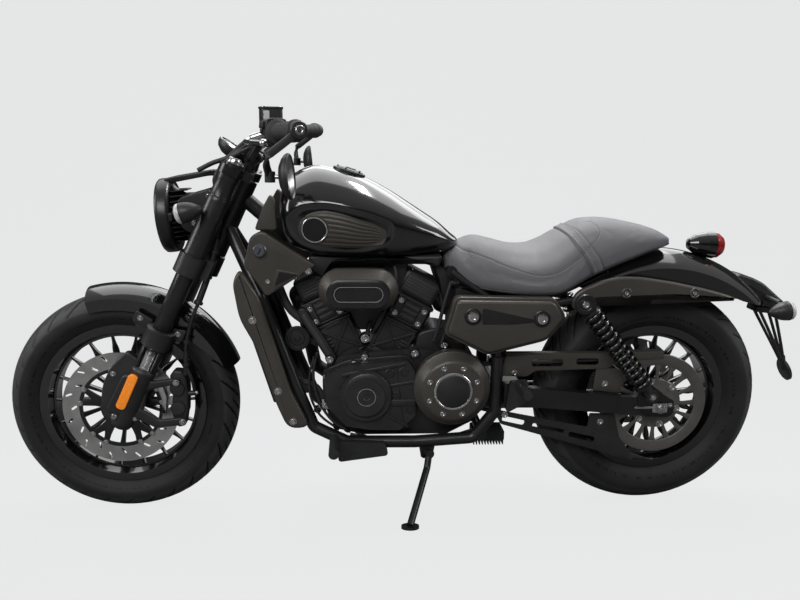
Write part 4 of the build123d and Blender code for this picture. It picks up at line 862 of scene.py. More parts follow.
# tyre ring: crown arc and side walls turned round the axle, with swept grooves cut into each shoulder
def tyreRing(spec):
    edge = radians(tread["halfAngle"])
    turn = np.linspace(0, edge, crownRows)
    crown = np.stack((spec["radius"] - tread["crown"] * (1 - np.cos(turn)), tread["crown"] * np.sin(turn)), -1)
    flange, half = spec["seat"] + tread["lip"], spec["width"] / 2
    wide = flange + (spec["radius"] - flange) * 0.48
    edgeR, edgeY = crown[-1]
    wall = curve([(edgeR, edgeY), (edgeR - (edgeR - wide) * 0.34, half - (half - edgeY) * 0.42),
                  (edgeR - (edgeR - wide) * 0.66, half - (half - edgeY) * 0.1), (wide, half), (wide - 10, half - 0.4),
                  (flange + 13, half - (half - spec["half"]) * 0.4), (flange + 4, spec["half"] + 5),
                  (flange + 1, spec["half"] + 3)], 26)[1:]
    profile = np.concatenate((crown, wall))
    reach = reachAlong(profile)
    bead = np.array(((flange + 1, spec["half"] - 0.6), (spec["seat"] + 0.6, spec["half"] - 0.6)))
    side = np.concatenate((profile, bead))
    span = np.concatenate((reach, (reach[-1] + 3, reach[-1] + 15)))
    ring = np.concatenate((side[::-1] * (1, -1), side[1:]))
    at, hand = np.concatenate((span[::-1], span[1:])), np.concatenate((-np.ones(len(side)), np.ones(len(side) - 1)))
    angle = circle(spec["steps"])[:, None]
    tall = reach[crownRows - 1] + 27
    s = at / tall
    pitch = 2 * pi / spec["grooves"]
    depth = np.zeros((spec["steps"], len(ring)))
    for lag, reachOut, from_, wide in ((0.0, 1.0, 0.10, 1.0), (0.5, 0.62, 0.02, 0.75)):
        swept = angle - radians(spec["sweep"]) * s ** 1.25 * 1.5 - pitch * (lag + 0.25 * (hand > 0))
        gap = np.abs((swept / pitch + 0.5) % 1 - 0.5) * pitch * spec["radius"]
        room = smoothStep(s, from_, from_ + 0.07) * smoothStep(reachOut * 1.02 - s, 0, 0.09)
        width = tread["width"] * 0.5 * wide * room
        depth = np.maximum(depth, (1 - smoothStep(gap, width * 0.6, width + 0.6)) * np.minimum(room, 1) * wide)
    radius = ring[:, 0] - tread["depth"] * depth * np.ones_like(angle)
    cx, _, cz = spec["centre"]
    grid = np.stack((cx + radius * np.cos(angle), ring[:, 1] * np.ones_like(angle), cz + radius * np.sin(angle)), -1)
    return [surface(grid, wrapRows=True, capped=False)], profile[:plainRows]


# how far each vertex lies below the tyre's plain section, kept on the mesh so that the finish paints the grooves' shade
def markGrooveShade(made, centre, section):
    places = np.empty(len(made.data.vertices) * 3, np.float32)
    made.data.vertices.foreach_get("co", places)
    upright = uprightOf(places.reshape(-1, 3)) - centre
    reach = np.hypot(upright[:, 0], upright[:, 2])
    below = np.interp(np.abs(upright[:, 1]), section[:, 1], section[:, 0]) - reach
    below = np.where(reach > section[-1, 0], below, 0) / perMetre
    made.data.attributes.new("groove", "FLOAT", "POINT").data.foreach_set("value", below.astype(np.float32))


for node, spec in tyreSpecs.items():
    ring, section = tyreRing(spec)
    rubber = "tyre_rubber" if node == "front_tyre" else "rear_tyre_rubber"
    markGrooveShade(piece(node + "_tread", ring, node, rubber, 32, (node,)), spec["centre"], section)
print("tyres made")

# wheels: hub reach, spoke reach and depth, and the turned hub's profile of radius and y
wheelSpecs = {
    "front_wheel": dict(frontSeat, spokes=18, depth=(11.5, 8.0), root=38.0,
                        hub=[(9, -52), (29, -52), (31, -50), (32, -34), (44, -27), (46, -24), (46, 24), (44, 27),
                             (32, 34), (31, 50), (29, 52), (9, 52)]),
    "rear_wheel": dict(rearSeat, spokes=18, depth=(14.0, 10.0), root=42.0,
                       hub=[(9.5, -76), (31, -76), (33, -74), (50, -72), (50, -30), (44, -24), (44, 24), (50, 30),
                            (50, 84), (33, 88), (31, 89), (9.5, 89)]),
}


# leaf spokes: widest at two thirds of their reach, oval across, one round each turn of the wheel
def leafSpokes(spec):
    t = np.linspace(0, 1, 22)
    reach = spec["root"] + (spec["seat"] - 18 - spec["root"]) * t
    wide = hermite((0, 0.25, 0.55, 0.70, 0.84, 0.95, 1.0), (4.2, 4.4, 6.4, 8.2, 4.4, 3.0, 3.4), t)
    deep = hermite((0, 0.6, 1.0), (spec["depth"][0], spec["depth"][0] * 0.8, spec["depth"][1]), t)
    turn = circle(14)
    cross = np.stack((np.cos(turn), np.sin(turn)), -1)
    cross = np.sign(cross) * np.abs(cross) ** 0.75
    parts = []
    for angle in circle(spec["spokes"]):
        out, side = np.array((cos(angle), 0, sin(angle))), np.array((-sin(angle), 0, cos(angle)))
        grid = (spec["centre"] + reach[:, None, None] * out + wide[:, None, None] * cross[None, :, :1] * side
                + deep[:, None, None] * cross[None, :, 1:] * rightAxis)
        parts.append(surface(grid))
    return parts


# rim: rounded lips, bead seats and a drop centre as one closed ring, with a hub
def rimAndHub(spec):
    seat, half = spec["seat"], spec["half"]
    lip = seat + tread["lip"]
    side = [(seat - 15, half - 20), (seat - 9, half - 6), (seat - 7, half + 3), (seat + 4, half + 4.5),
            (lip - 1, half + 4.8), (lip + 0.6, half + 3.4), (lip + 0.4, half + 0.8), (lip - 2, half),
            (seat + 2, half - 0.5), (seat, half - 3), (seat - 1, half - 14), (seat - 13, half - 20)]
    profile = [(seat - 21, -half + 20)] + [(r, -y) for r, y in side] + [(seat - 14, -half + 24), (seat - 14, half - 24)]
    profile += [(r, y) for r, y in side[::-1]] + [(seat - 21, half - 20)]
    return [lathe(profile, spec["centre"], rightAxis, 120, ring=True),
            lathe(spec["hub"], spec["centre"], rightAxis, 64, ring=True)]


# front disc's black carrier: a ring and plate, five forked arms with silver buttons
def carrierParts():
    inner, outer = -63.5, -68.5
    plate = lathe([(17, -50), (50, -51), (53, -62), (53, outer), (50, outer - 1), (17, outer - 1)], frontAxle,
                  rightAxis, 64, ring=True)
    ring = lathe([(99, inner), (108, inner), (108, outer), (99, outer)], frontAxle, rightAxis, 96, ring=True)
    fork = rounded([(46, -13), (64, -15), (101, -26), (101, -12), (78, 0), (101, 12), (101, 26), (64, 15), (46, 13)], 4,
                   4)
    parts, places = [plate, ring], []
    for angle in circle(5) + radians(18):
        c, s = cos(angle), sin(angle)
        turned = fork @ np.array(((c, s), (-s, c))) + frontAxle[::2]
        parts.append(prism(turned, outer - 0.6, inner, 1.2))
        places += [frontAxle + (106 * cos(angle + lean), outer - 0.5, 106 * sin(angle + lean))
                   for lean in (-0.19, 0.19)]
    hub = [frontAxle + (34 * cos(a), outer - 1, 34 * sin(a)) for a in circle(5)]
    return parts, bolts(places, leftAxis, 6, 3.4, flange=1.25) + bolts(hub, leftAxis, 5.5, 5)


for node, spec in wheelSpecs.items():
    piece(node + "_rim", rimAndHub(spec), node, "gloss_black", hides=(node,), sharp=40)
    piece(node + "_spokes", leafSpokes(spec), node, "gloss_black", sharp=60)
carrier, buttons = carrierParts()
piece("disc_carrier", carrier, "front_wheel", "satin_black")
piece("disc_buttons", buttons, "front_wheel", "bright_bolt")
print("wheels made")

shock = {"head": (478.0, -161.0, 600.0), "foot": (673.0, -161.0, 352.0), "coil": 22.5, "wire": 4.9, "turns": 12.5,
         "from": 34.0, "to": 44.0}


# shock absorber: damper, coil spring round it, seats, and an eye at each end
def shockParts():
    head, foot = np.array(shock["head"]), np.array(shock["foot"])
    reach = np.linalg.norm(foot - head)
    axis, first, second = squareTo(foot - head)
    body = lathe([(0, 6), (14, 8), (16, 24), (25, 26), (26, 31), (24, 33), (15, 34), (15, 150), (9, 152),
                  (9, reach - 66), (14, reach - 64), (16, reach - 44), (26, reach - 42), (26, reach - 37),
                  (15, reach - 33), (13, reach - 14), (0, reach - 12)], head, axis, 40)
    turn = np.linspace(0, shock["turns"] * 2 * pi, int(shock["turns"] * 30))
    climb = shock["from"] + (reach - shock["to"] - shock["from"]) * turn / turn[-1]
    aside = np.cos(turn)[:, None] * first + np.sin(turn)[:, None] * second
    path = head + climb[:, None] * axis + shock["coil"] * aside
    coil = tube(path, shock["wire"], 12, axis)
    eyes = [lathe([(7, -11), (19, -11), (20.5, -9), (20.5, 9), (19, 11), (7, 11)], head, rightAxis, 40, ring=True),
            lathe([(8, -11), (15.5, -11), (16.5, -9), (16.5, 9), (15.5, 11), (8, 11)], foot, rightAxis, 40, ring=True)]
    cap = lathe([(0, 10), (24, 10.5), (27, 13), (27, 17), (25, 20.5), (16, 21.5), (14, 20), (0, 19.5)], head, leftAxis,
                48)
    nut = nuts([foot + (0, -11, 0)], leftAxis, 7, 5) + bolts([head + (0, -19, 0)], leftAxis, 8.5, 5, 24, 1.1)
    return [body] + eyes, [coil], [cap], nut


family("shocks", shockParts(), (("shock_bodies", "satin_black", usualSharp), ("shock_springs", "gloss_black", 70),
                                ("shock_caps", "satin_black", usualSharp), ("shock_nuts", "bright_bolt", usualSharp)),
       bothSides)
print("shocks made")


crank = np.array((-71.0, 0.0, 349.0))
banks = {"front": (-25.0, -1.0), "rear": (28.0, 1.0)}  # degrees back from the vertical, hand of its outer side


# u across a bank, v along it from the crank and w across the motorcycle
def bankView(angle, hand=1.0):
    turn = radians(angle)
    return planeView(crank, hand * np.array((cos(turn), 0, -sin(turn))), (sin(turn), 0, cos(turn)), rightAxis)


# outline of a straight bar with round ends
def barLine(start, end, half, steps=5):
    start, end = np.array(start, float), np.array(end, float)
    along = unit(end - start)
    side = np.array((-along[1], along[0]))
    turn = np.linspace(-pi / 2, pi / 2, steps)[:, None]
    tip = end + half * (np.cos(turn) * along + np.sin(turn) * side)
    tail = start - half * (np.cos(turn) * along + np.sin(turn) * side)
    return np.concatenate((tip, tail))


def boxLine(low, high, corner=4.0, steps=5):
    return rounded([(low[0], low[1]), (high[0], low[1]), (high[0], high[1]), (low[0], high[1])], corner, steps)


# stadium or rounded outline drawn at each depth: rows of (half width, half height, shift up, depth)
def steppedOval(centre, rows, place=sideView, count=72, ring=False):
    turn = circle(count)
    rows = np.asarray(rows, float)
    straight = np.maximum(rows[:, 0] - rows[:, 1], 0)[:, None]
    u = centre[0] + rows[:, 1:2] * np.cos(turn) + straight * np.clip(np.cos(turn) * 6, -1, 1)
    v = centre[1] + rows[:, 2:3] + rows[:, 1:2] * np.sin(turn)
    return surface(place(u, v, rows[:, 3:4] + 0 * u), wrapRows=ring, capped=not ring)


# blocks of one cylinder: low, high along the bank, half width, half depth, shift across, bevel
cylinderBlocks = [(92, 203, 47, 55, 4, 3), (97, 103, 51, 59, 4, 2), (193, 200, 52, 60, 4, 2), (203, 209, 54, 62, 6, 2),
                  (209, 264, 51, 62, 7, 4), (262, 272, 57, 65, 4, 3), (270, 338, 53, 60, 0, 13)]


# one cylinder: square barrel with crossed ribs, head with slots and brackets, bevelled cover with a ribbed panel
def cylinderParts(angle, hand):
    view = bankView(angle, hand)
    blocks, panels, screws = [], [], []
    for low, high, wide, deep, shift, bevel in cylinderBlocks:
        blocks.append(prism(boxLine((shift - wide, -deep), (shift + wide, deep), 10, 5), low, high, bevel,
                            lambda u, v, w: view(u, w, v)))
    for y in (-1, 1):
        inner, outer = sorted((y * 54, y * 60.5))
        for start, end in (((-38, 108), (44, 188)), ((-38, 188), (44, 108)), ((-40, 106), (-40, 190)),
                           ((47, 106), (47, 190)), ((-18, 108), (24, 108)), ((-18, 190), (24, 190))):
            blocks.append(prism(barLine(start, end, 3.2), inner, outer, 1.2, view))
        for level in (138, 148, 158):
            panels.append(prism(barLine((26, level), (42, level), 1.8), inner, outer - 2 * y * (y > 0), 0.8, view))
        inner, outer = sorted((y * 60, y * 69))
        for at in (-28.6, 40):
            blocks.append(prism(boxLine((at - 11, 206), (at + 11, 268), 5, steps=4), inner, outer, 2, view))
            screws += bolts([view(at, level, y * 68.5) for level in (218.5, 255)], (0, y, 0), 5.2, 4.5)
        inner, outer = sorted((y * 60, y * 66))
        for level in (222, 237, 252):
            panels.append(prism(barLine((-11, level), (24, level), 4.2), inner, outer, 1.4, view))
        inner, outer = sorted((y * 58, y * 65.5))
        panels.append(prism(boxLine((-43, 283), (42, 326), 6, steps=4), inner, outer, 2.5, view))
        inner, outer = sorted((y * 64, y * 68))
        for level in (290, 297.5, 305, 312.5, 320):
            panels.append(prism(barLine((-38, level), (37, level), 2.0), inner, outer, 1.2, view))
    for at in (-40, 40):
        screws += bolts([view(at, 334, side * 44) for side in (-1, 1)], view(0, 1, 0) - view(0, 0, 0), 5, 6)
    return blocks, panels, screws


blocks, panels, screws = (sum(group, []) for group in zip(*(cylinderParts(*bank) for bank in banks.values())))
frontView = bankView(banks["front"][0], 1.0)
blocks.append(prism(barLine((-59, 257), (-43, 116), 12), -84, -58, 3, frontView))
panels.append(prism(barLine((-58, 248), (-45, 128), 6), -87, -82, 1.5, frontView))
piece("cylinder_blocks", blocks, "cylinders", hides=("cylinders",), sharp=35)
piece("cylinder_panels", panels, "cylinders", "engine_panel", sharp=35)
print("cylinders made")

# crankcase bosses and bolts: x, z, y of the seat, boss radius, bolt radius
caseBolts = [(-163, 435.5, -96, 11, 7), (-124.6, 407.6, -100, 10, 6.5), (-172, 388.6, -92, 10, 6),
             (-72.5, 441, -96, 10, 6.5), (-100, 424, -98, 10, 6.5), (58.5, 451, -96, 11, 7), (136, 470, -92, 11, 7),
             (-71, 483.4, -64, 12, 8.5), (-178, 309, -84, 17, 11)]
coverSockets = [(-7.9, 408), (27.7, 411), (9.1, 345.4), (45.6, 308.9)]


def caseParts():
    bosses, heads = [], []
    for x, z, y, wide, head in caseBolts:
        bosses.append(lathe([(0, 22), (wide + 2, 22), (wide, 2), (wide - 1.2, 0), (head, 0), (0, 0)], (x, y, z),
                            rightAxis, 28))
        heads += bolts([(x, y, z)], leftAxis, head, head * 0.7)
    heads += nuts([(-178, -84, 309)], leftAxis, 12, 12)
    return bosses, heads


# left cover: bevelled plate, round boss with a turned ring, the cast band and the joint line
def leftCoverParts():
    outline = rounded([(-178, 402), (-112, 430), (40, 442), (66, 404), (66, 290), (20, 248), (-60, 248), (-122, 260),
                       (-176, 318)], 26, 7)
    plate = prism(outline, -122, -80, 9, steps=5)
    lip = prism(drawnIn(outline, -5), -92, -80, 2.5)
    bossFoot = (-68.0, -120, 351.0)
    boss = lathe([(0, 0), (66, 0), (66, -12), (63, -18), (56, -22), (46, -23), (44, -21), (42, -21), (40, -27),
                  (33, -30), (31, -28.5), (24, -28.5), (22.5, -31), (9, -31.5), (7, -29.5), (0, -29.5)],
                 bossFoot, rightAxis, 96)
    band = prism(boxLine((-8, 317), (60, 336), 3, steps=4), -128, -118, 2.5)
    seam = prism([(5, 446), (8, 446), (34, 250), (31, 250)], -124.2, -118, 0.4)
    webs = [prism(barLine(start, end, half), -127, -118, 2) for start, end, half in
            (((-12, 372), (58, 384), 4), ((-30, 300), (40, 262), 4), ((-128, 402), (30, 432), 5))]
    holes = [lathe([(0, 0), (12, 0), (12, -8), (10.5, -9.5), (8, -9.5), (7.2, -3), (0, -3)], (x, -118, z),
                   rightAxis, 30) for x, z in coverSockets]
    rings = [lathe([(22.2, -31.2), (23.6, -31.2), (23.8, -32.2), (22.0, -32.2)], bossFoot, rightAxis, 72, ring=True)]
    return [plate, lip, boss, band] + webs + holes, rings, [seam]


caseBosses, caseHeads = caseParts()
coverBody, coverRing, coverSeam = leftCoverParts()
piece("case_bosses", caseBosses, "crankcase")
piece("left_cover_details", coverBody, "engine_covers", sharp=35)
piece("left_cover_ring", coverRing, "engine_covers", "bright_bolt")
piece("left_cover_seam", coverSeam, "engine_covers", "dark_badge")
piece("engine_bolts", caseHeads + screws, "crankcase", "bright_bolt")
print("engine covers made")


# big round cover over the front pulley: cone, flat face, turned groove and a ring of eight bolts
def pulleyCoverParts():
    centre = np.array((154.0, 0.0, 367.0))
    shell = lathe([(0, -103), (99, -103), (100.5, -106), (100.5, -128), (99, -131), (97, -132), (82, -152),
                   (78, -155.5), (74, -157), (51.5, -158.5), (50.5, -157), (0, -157)], centre, rightAxis, 120)
    ring = lathe([(50.2, -156), (50.2, -159), (49, -160.2), (45, -160.6), (44, -159.6)], centre, rightAxis, 120)
    disc = lathe([(44.4, -156), (44.4, -159), (42, -160.6), (0, -161)], centre, rightAxis, 120)
    at = [centre + (65 * cos(a), -157, 65 * sin(a)) for a in circle(8) + 0.39]
    return [shell], [ring], [disc], bolts(at, leftAxis, 5.6, 5)


family("pulley_cover", pulleyCoverParts(), (
    ("pulley_cover_shell", None, 30), ("pulley_cover_ring", "bright_bolt", usualSharp),
    ("pulley_cover_disc", "black_plastic", usualSharp), ("pulley_cover_bolts", "bright_bolt", usualSharp)))


# oval air cleaner: drum, wide bevel, flat face and a blank slot sunk in it
def airCleanerParts():
    cover = steppedOval((-89.5, 633.5), [(94, 49, 0, -128), (96, 51, 0, -131), (97.5, 52.5, 0, -148),
                                         (98.5, 53.5, 0, -150), (98.5, 53.5, 0, -160), (96.5, 51.5, 0, -164),
                                         (78, 36, -5, -186), (76, 34, -5, -182.5)])
    face = steppedOval((-89.5, 633.5), [(77, 35, -5, -183), (77.6, 35.6, -5, -186.2), (75, 34, -6, -188),
                                        (60, 19, -6, -188.5), (58.5, 17.5, -6, -188), (57, 16, -6, -184.5),
                                        (20, 5, -6, -184)])
    back = steppedOval((-89.5, 628), [(82, 42, 0, -70), (88, 46, 0, -74), (88, 46, 0, -128), (84, 44, 0, -132)])
    rim = steppedOval((-89.5, 627.5), [(59.5, 18.5, 0, -187.2), (60.3, 19.3, 0, -189.4), (58.6, 17.6, 0, -189.4),
                                       (58.0, 17.0, 0, -187.2)], ring=True)
    return [cover], [back], [face], [rim]


family("air_cleaner", airCleanerParts(), (
    ("air_cleaner_cover", None, 30), ("air_cleaner_back", "black_plastic", usualSharp),
    ("air_cleaner_face", "satin_black", usualSharp), ("air_cleaner_rim", "bright_bolt", usualSharp)))


sideBolts = [(196.5, 568), (371.5, 562)]


# side covers: bevelled border round a raised face, a dark wedge and two big bolts in recesses
def sideCoverParts():
    outline = rounded([(151, 616), (405, 613), (438, 563), (390, 502), (238, 463), (124, 520)], 16, 6)
    base = prism(outline, -160, -128, 4)
    shoulder = prism(drawnIn(outline, 7), -171, -156, 9, steps=5)
    wedge = slab([(220, 590), (352, 560), (352, 553), (300, 548), (220, 548)], 5, -172.6, -168, 0.8)
    cups = [lathe([(0, 0), (22, 0), (22, -4), (20, -5.5), (18, -5.5), (16, -2), (0, -2)], (x, -168.5, z), rightAxis, 48)
            for x, z in sideBolts]
    heads = [lathe([(14.5, 0), (14.5, -5), (13, -8), (9, -9), (7, -9), (6, -5), (0, -5)], (x, -169, z), rightAxis, 48)
             for x, z in sideBolts]
    return [base, shoulder], [wedge] + cups, heads


family("side_covers", sideCoverParts(), (("side_cover_shells", None, 30),
                                         ("side_cover_wedges", "satin_black", usualSharp),
                                         ("side_cover_bolts", "bright_bolt", usualSharp)), bothSides)


# radiator shrouds with soft edges and three bolts
def shroudParts():
    outline = rounded([(-382, 684), (-400, 648), (-386, 557), (-348, 486), (-299, 332), (-270, 264), (-212, 268),
                       (-260, 365), (-334, 611)], 26, 7)
    body = prism(outline, -148, -122, 10, steps=6)
    places = [(-351.9, -147.5, 553.3), (-292.7, -147.5, 367.9), (-256, -147.5, 286)]
    seats = [lathe([(0, 2), (12, 2), (12, 0), (10.5, -1), (0, -1)], place, rightAxis, 32) for place in places]
    return [body] + seats, bolts([np.array(place) - (0, 1, 0) for place in places], leftAxis, 7, 5)


shroudBody, shroudBolts = shroudParts()
piece("shroud_shells", bothSides(shroudBody), "radiator_shroud", hides=("radiator_shroud",), sharp=35)


# neck covers: bevelled triangle with a dark sheet over its opening as painted shade, an upper cover, a key lock with a
# dark key slot as painted shade, and two bolts
def neckParts():
    outline = rounded([(-372, 690), (-355, 760), (-326, 776), (-194, 690), (-319, 609), (-337, 640)], 12, 6)
    lower = prism(outline, -136, -114, 5, steps=5)
    frameLine = slab([(-292, 682), (-228, 668), (-302, 628)], 5, -138, -132, 1.5)
    # painted shade: a dark sheet stands proud where the cover's opening shows only shade
    openingShade = slab([(-285, 676), (-238, 667), (-297, 638)], 4, -138.6, -132, 0.8)
    upper = prism(rounded([(-346, 774), (-326, 828), (-306, 864), (-294, 848), (-290, 774)], 10, 5), -114, -92, 4,
                  steps=4)
    lock = lathe([(0, 0), (17, 0), (17, -3), (14, -6), (14, -14), (12.5, -16), (0, -16)], (-331, -134, 727), rightAxis,
                 48)
    # painted shade: a dark bar stands in for the shaded key slot
    slot = prism(barLine((-334, 721), (-328, 733), 1.6), -151.5, -148, 0.4)
    return [lower, upper, frameLine], [openingShade, slot], [lock], bolts([(-213, -135, 676), (-313, -135, 650)], leftAxis,
                                                                     6, 4)


*neckGroups, neckBolts = neckParts()
family("neck_covers", neckGroups, (("neck_cover_shells", None, 35), ("neck_cover_opening_shades", "dark_badge", usualSharp),
                                   ("neck_locks", "lock_grey", usualSharp)), bothSides)
piece("cover_bolts", bothSides(shroudBolts + neckBolts), "radiator_shroud", "bright_bolt")


# dark parts between the tank and the engine: air box, coil, horn, hoses and a wiring run
def underTankParts():
    box = prism(rounded([(-214, 708), (-218, 672), (-176, 648), (-150, 690), (-30, 692), (10, 700), (60, 690),
                         (118, 676), (128, 708)], 9, 4), -86, 86, 8)
    shelf = prism(rounded([(-196, 690), (-176, 566), (-40, 560), (30, 600), (44, 700)], 14, 5), -58, 58, 8)
    rear = prism(rounded([(92, 700), (150, 660), (170, 610), (150, 560), (128, 560), (118, 640)], 12, 4), -60, 60, 6)
    runner = prism(rounded([(-124, 572), (-92, 500), (-50, 500), (-12, 572)], 10, 4), -38, 38, 5)
    starter = prism(rounded([(58, 440), (70, 500), (110, 512), (176, 500), (200, 452), (180, 430)], 12, 4), -66, 66, 6)
    horn = lathe([(0, 26), (16, 24), (30, 16), (33, 8), (33, 2), (31, 0), (27, 0), (25, 2.5), (20, 3), (18, 1),
                  (8, 0.4), (6, -1.5), (0, -1.5)], (-248, -66, 484), rightAxis, 56)
    bracket = prism(barLine((-226, 480), (-200, 466), 7), -48, -42, 1.2)
    return [box, shelf, rear, runner, starter, horn, bracket]


piece("under_tank_parts", underTankParts(), "frame_backbone", "black_plastic")
hoses = [  # centre line, radius
    ([(-300, -60, 640), (-262, -66, 560), (-214, -60, 520), (-196, -40, 500)], 11),
    ([(-282, -40, 380), (-236, -62, 366), (-196, -74, 352), (-184, -76, 318), (-200, -80, 286)], 8),
    ([(-196, -84, 452), (-206, -88, 402), (-198, -92, 340), (-178, -96, 296), (-150, -98, 262), (-110, -96, 236)], 4.0),
    ([(-204, -80, 440), (-216, -84, 392), (-214, -88, 334), (-192, -92, 286), (-140, -90, 240)], 3.4),
    ([(-30, -60, 700), (-20, -78, 650), (-12, -84, 600), (-30, -80, 540), (-52, -70, 500)], 4.5),
    ([(-8, -60, 704), (6, -84, 668), (4, -90, 610), (-4, -86, 560)], 3.6),
    ([(150, -84, 640), (132, -92, 580), (120, -94, 530), (108, -92, 486)], 5.0),
    ([(176, -88, 628), (158, -98, 566), (140, -98, 520), (128, -94, 478)], 3.6),
    ([(-58, -40, 520), (-64, -52, 500), (-70, -60, 484)], 6),
    ([(-110, -96, 230), (-40, -104, 216), (60, -104, 214), (150, -100, 220), (214, -84, 232)], 4.2),
    ([(-96, -88, 232), (-20, -92, 205), (40, -92, 204), (110, -96, 214)], 3.2),
]
piece("engine_hoses", [tube(curve(points, 60), radius, 12) for points, radius in hoses], "frame_backbone",
      "grip_rubber", sharp=60)
clamps = [(points[0], points[1], radius) for points, radius in hoses[:3]]
clamps += [(points[-1], points[-2], radius) for points, radius in hoses[:6]]
piece("hose_clamps", [lathe([(r + 0.2, 4), (r + 1.8, 4), (r + 2.2, 7), (r + 2.2, 13), (r + 1.8, 16), (r + 0.2, 16)], at,
                            np.subtract(to, at), 28, ring=True) for at, to, r in clamps],
      "frame_backbone", "dark_badge", slot="axle_steel")
print("covers and hoses made")


seatForm = {"voxel": 0.0055, "pressure": 4.0, "last": 20, "cap": 0.005, "shrink": 2.5, "held": 26.0, "full": 2.2}
strapLine = np.array([(779, 446), (775, 456), (743, 480), (709, 506), (669, 529), (640, 542)])  # height, x
seatSeams = {
    "rider": [(168, 728), (174, 724), (205, 717), (239, 706), (272, 693), (308, 681), (340, 672), (371, 667),
              (398, 669), (424, 678), (455, 696), (485, 719), (497, 733)],
    "panel": [(500, 797), (518, 792), (528, 780), (528, 768), (521, 756), (508, 742)],
}


def bakedMesh(made):
    graph = bpy.context.evaluated_depsgraph_get()
    mesh = bpy.data.meshes.new_from_object(made.evaluated_get(graph), depsgraph=graph)
    made.modifiers.clear()
    made.data = mesh
    return mesh


def placesOf(mesh):
    places = np.empty(len(mesh.vertices) * 3, np.float32)
    mesh.vertices.foreach_get("co", places)
    return places.reshape(-1, 3).astype(float)


# swells the remeshed pad as cloth under pressure, its underside held, and caps how far a point may move
def inflate(made):
    remesh = made.modifiers.new("remesh", "REMESH")
    remesh.mode, remesh.voxel_size = "VOXEL", seatForm["voxel"]
    before = placesOf(bakedMesh(made))
    upright = uprightOf(before)
    floor = np.interp(upright[:, 0], seatTable[:, 0], seatTable[:, 1])
    held = made.vertex_groups.new(name="held")
    held.add(np.flatnonzero(upright[:, 2] < floor + seatForm["held"]).tolist(), 1.0, "REPLACE")
    cloth = made.modifiers.new("cloth", "CLOTH").settings
    cloth.quality, cloth.mass, cloth.vertex_group_mass = 5, 0.3, "held"
    cloth.use_pressure, cloth.uniform_pressure_force = True, seatForm["pressure"]
    cloth.effector_weights.gravity = 0
    for step in range(1, seatForm["last"] + 1):
        bpy.context.scene.frame_set(step)
    mesh = bakedMesh(made)
    moved = placesOf(mesh) - before
    reach = np.linalg.norm(moved, axis=1, keepdims=True)
    moved *= np.minimum(1, seatForm["cap"] / np.maximum(reach, 1e-9))
    mesh.vertices.foreach_set("co", (before + moved).astype(np.float32).ravel())
    bpy.context.scene.frame_set(1)
    made.vertex_groups.clear()
    finer = made.modifiers.new("finer", "SUBSURF")
    finer.levels = finer.render_levels = 1
    bakedMesh(made)


# distance of side view points to an open line
def gapTo(points, line):
    start, run = line[:-1], np.diff(line, axis=0)
    share = np.clip(np.einsum("pkc,kc->pk", points[:, None] - start, run) / (run ** 2).sum(1), 0, 1)
    return np.sqrt(((points[:, None] - start - share[..., None] * run) ** 2).sum(-1)).min(1)


# heights and widths in millimetres; the strap lies on the seat's top between two values of x
seam = {"depth": 2.0, "half": 2.6, "inside": 45}
strap = {"height": 3.0, "half": (11.5, 14.0), "piping": 1.2, "pipingAt": 10.6, "pipingHalf": 1.8, "groove": 2.2,
         "grooveAt": 16, "grooveHalf": 2.6, "above": (655, 668), "from": 430, "to": 560, "slant": 0.86}


# seams drawn in and the strap raised, along each point's normal
def sewSeat(mesh):
    places = placesOf(mesh)
    normals = np.empty(len(mesh.vertices) * 3, np.float32)
    mesh.vertices.foreach_get("normal", normals)
    upright = uprightOf(places)
    view2d, out = upright[:, ::2], np.abs(upright[:, 1])
    lift = np.zeros(len(places))
    for line in seatSeams.values():
        gap = gapTo(view2d, curve(line, 60))
        lift -= seam["depth"] * np.exp(-(gap / seam["half"]) ** 2) * (out > seam["inside"])
    along = np.interp(upright[:, 2], strapLine[::-1, 0], strapLine[::-1, 1])
    off = np.abs(upright[:, 0] - along) * strap["slant"]
    onTop = smoothStep(upright[:, 2], *strap["above"]) * (upright[:, 0] > strap["from"]) * (upright[:, 0] < strap["to"])
    lift += onTop * (strap["height"] * (1 - smoothStep(off, *strap["half"]))
                     + strap["piping"] * np.exp(-((off - strap["pipingAt"]) / strap["pipingHalf"]) ** 2)
                     - strap["groove"] * np.exp(-((off - strap["grooveAt"]) / strap["grooveHalf"]) ** 2))
    places += normals.reshape(-1, 3) * lift[:, None] / perMetre
    mesh.vertices.foreach_set("co", places.astype(np.float32).ravel())
    mesh.update()


def seatPad():
    grid = bodyGrid(sectionsOf(seatTable, 150), (46, 34, 18), seatForm["full"])
    middle = grid.mean(1, keepdims=True)
    away = grid - middle
    grid = middle + away * (1 - seatForm["shrink"] / np.maximum(np.linalg.norm(away, axis=-1, keepdims=True), 20))
    made = linked("seat_pad", meshOf("seat_pad", [surface(grid)]))
    inflate(made)
    sewSeat(made.data)
    made.data.shade_smooth()
    made.data.materials.clear()
    made.data.materials.append(finishes["leather"])
    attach(made, bodyOf["seat"])
    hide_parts("seat")
    return made


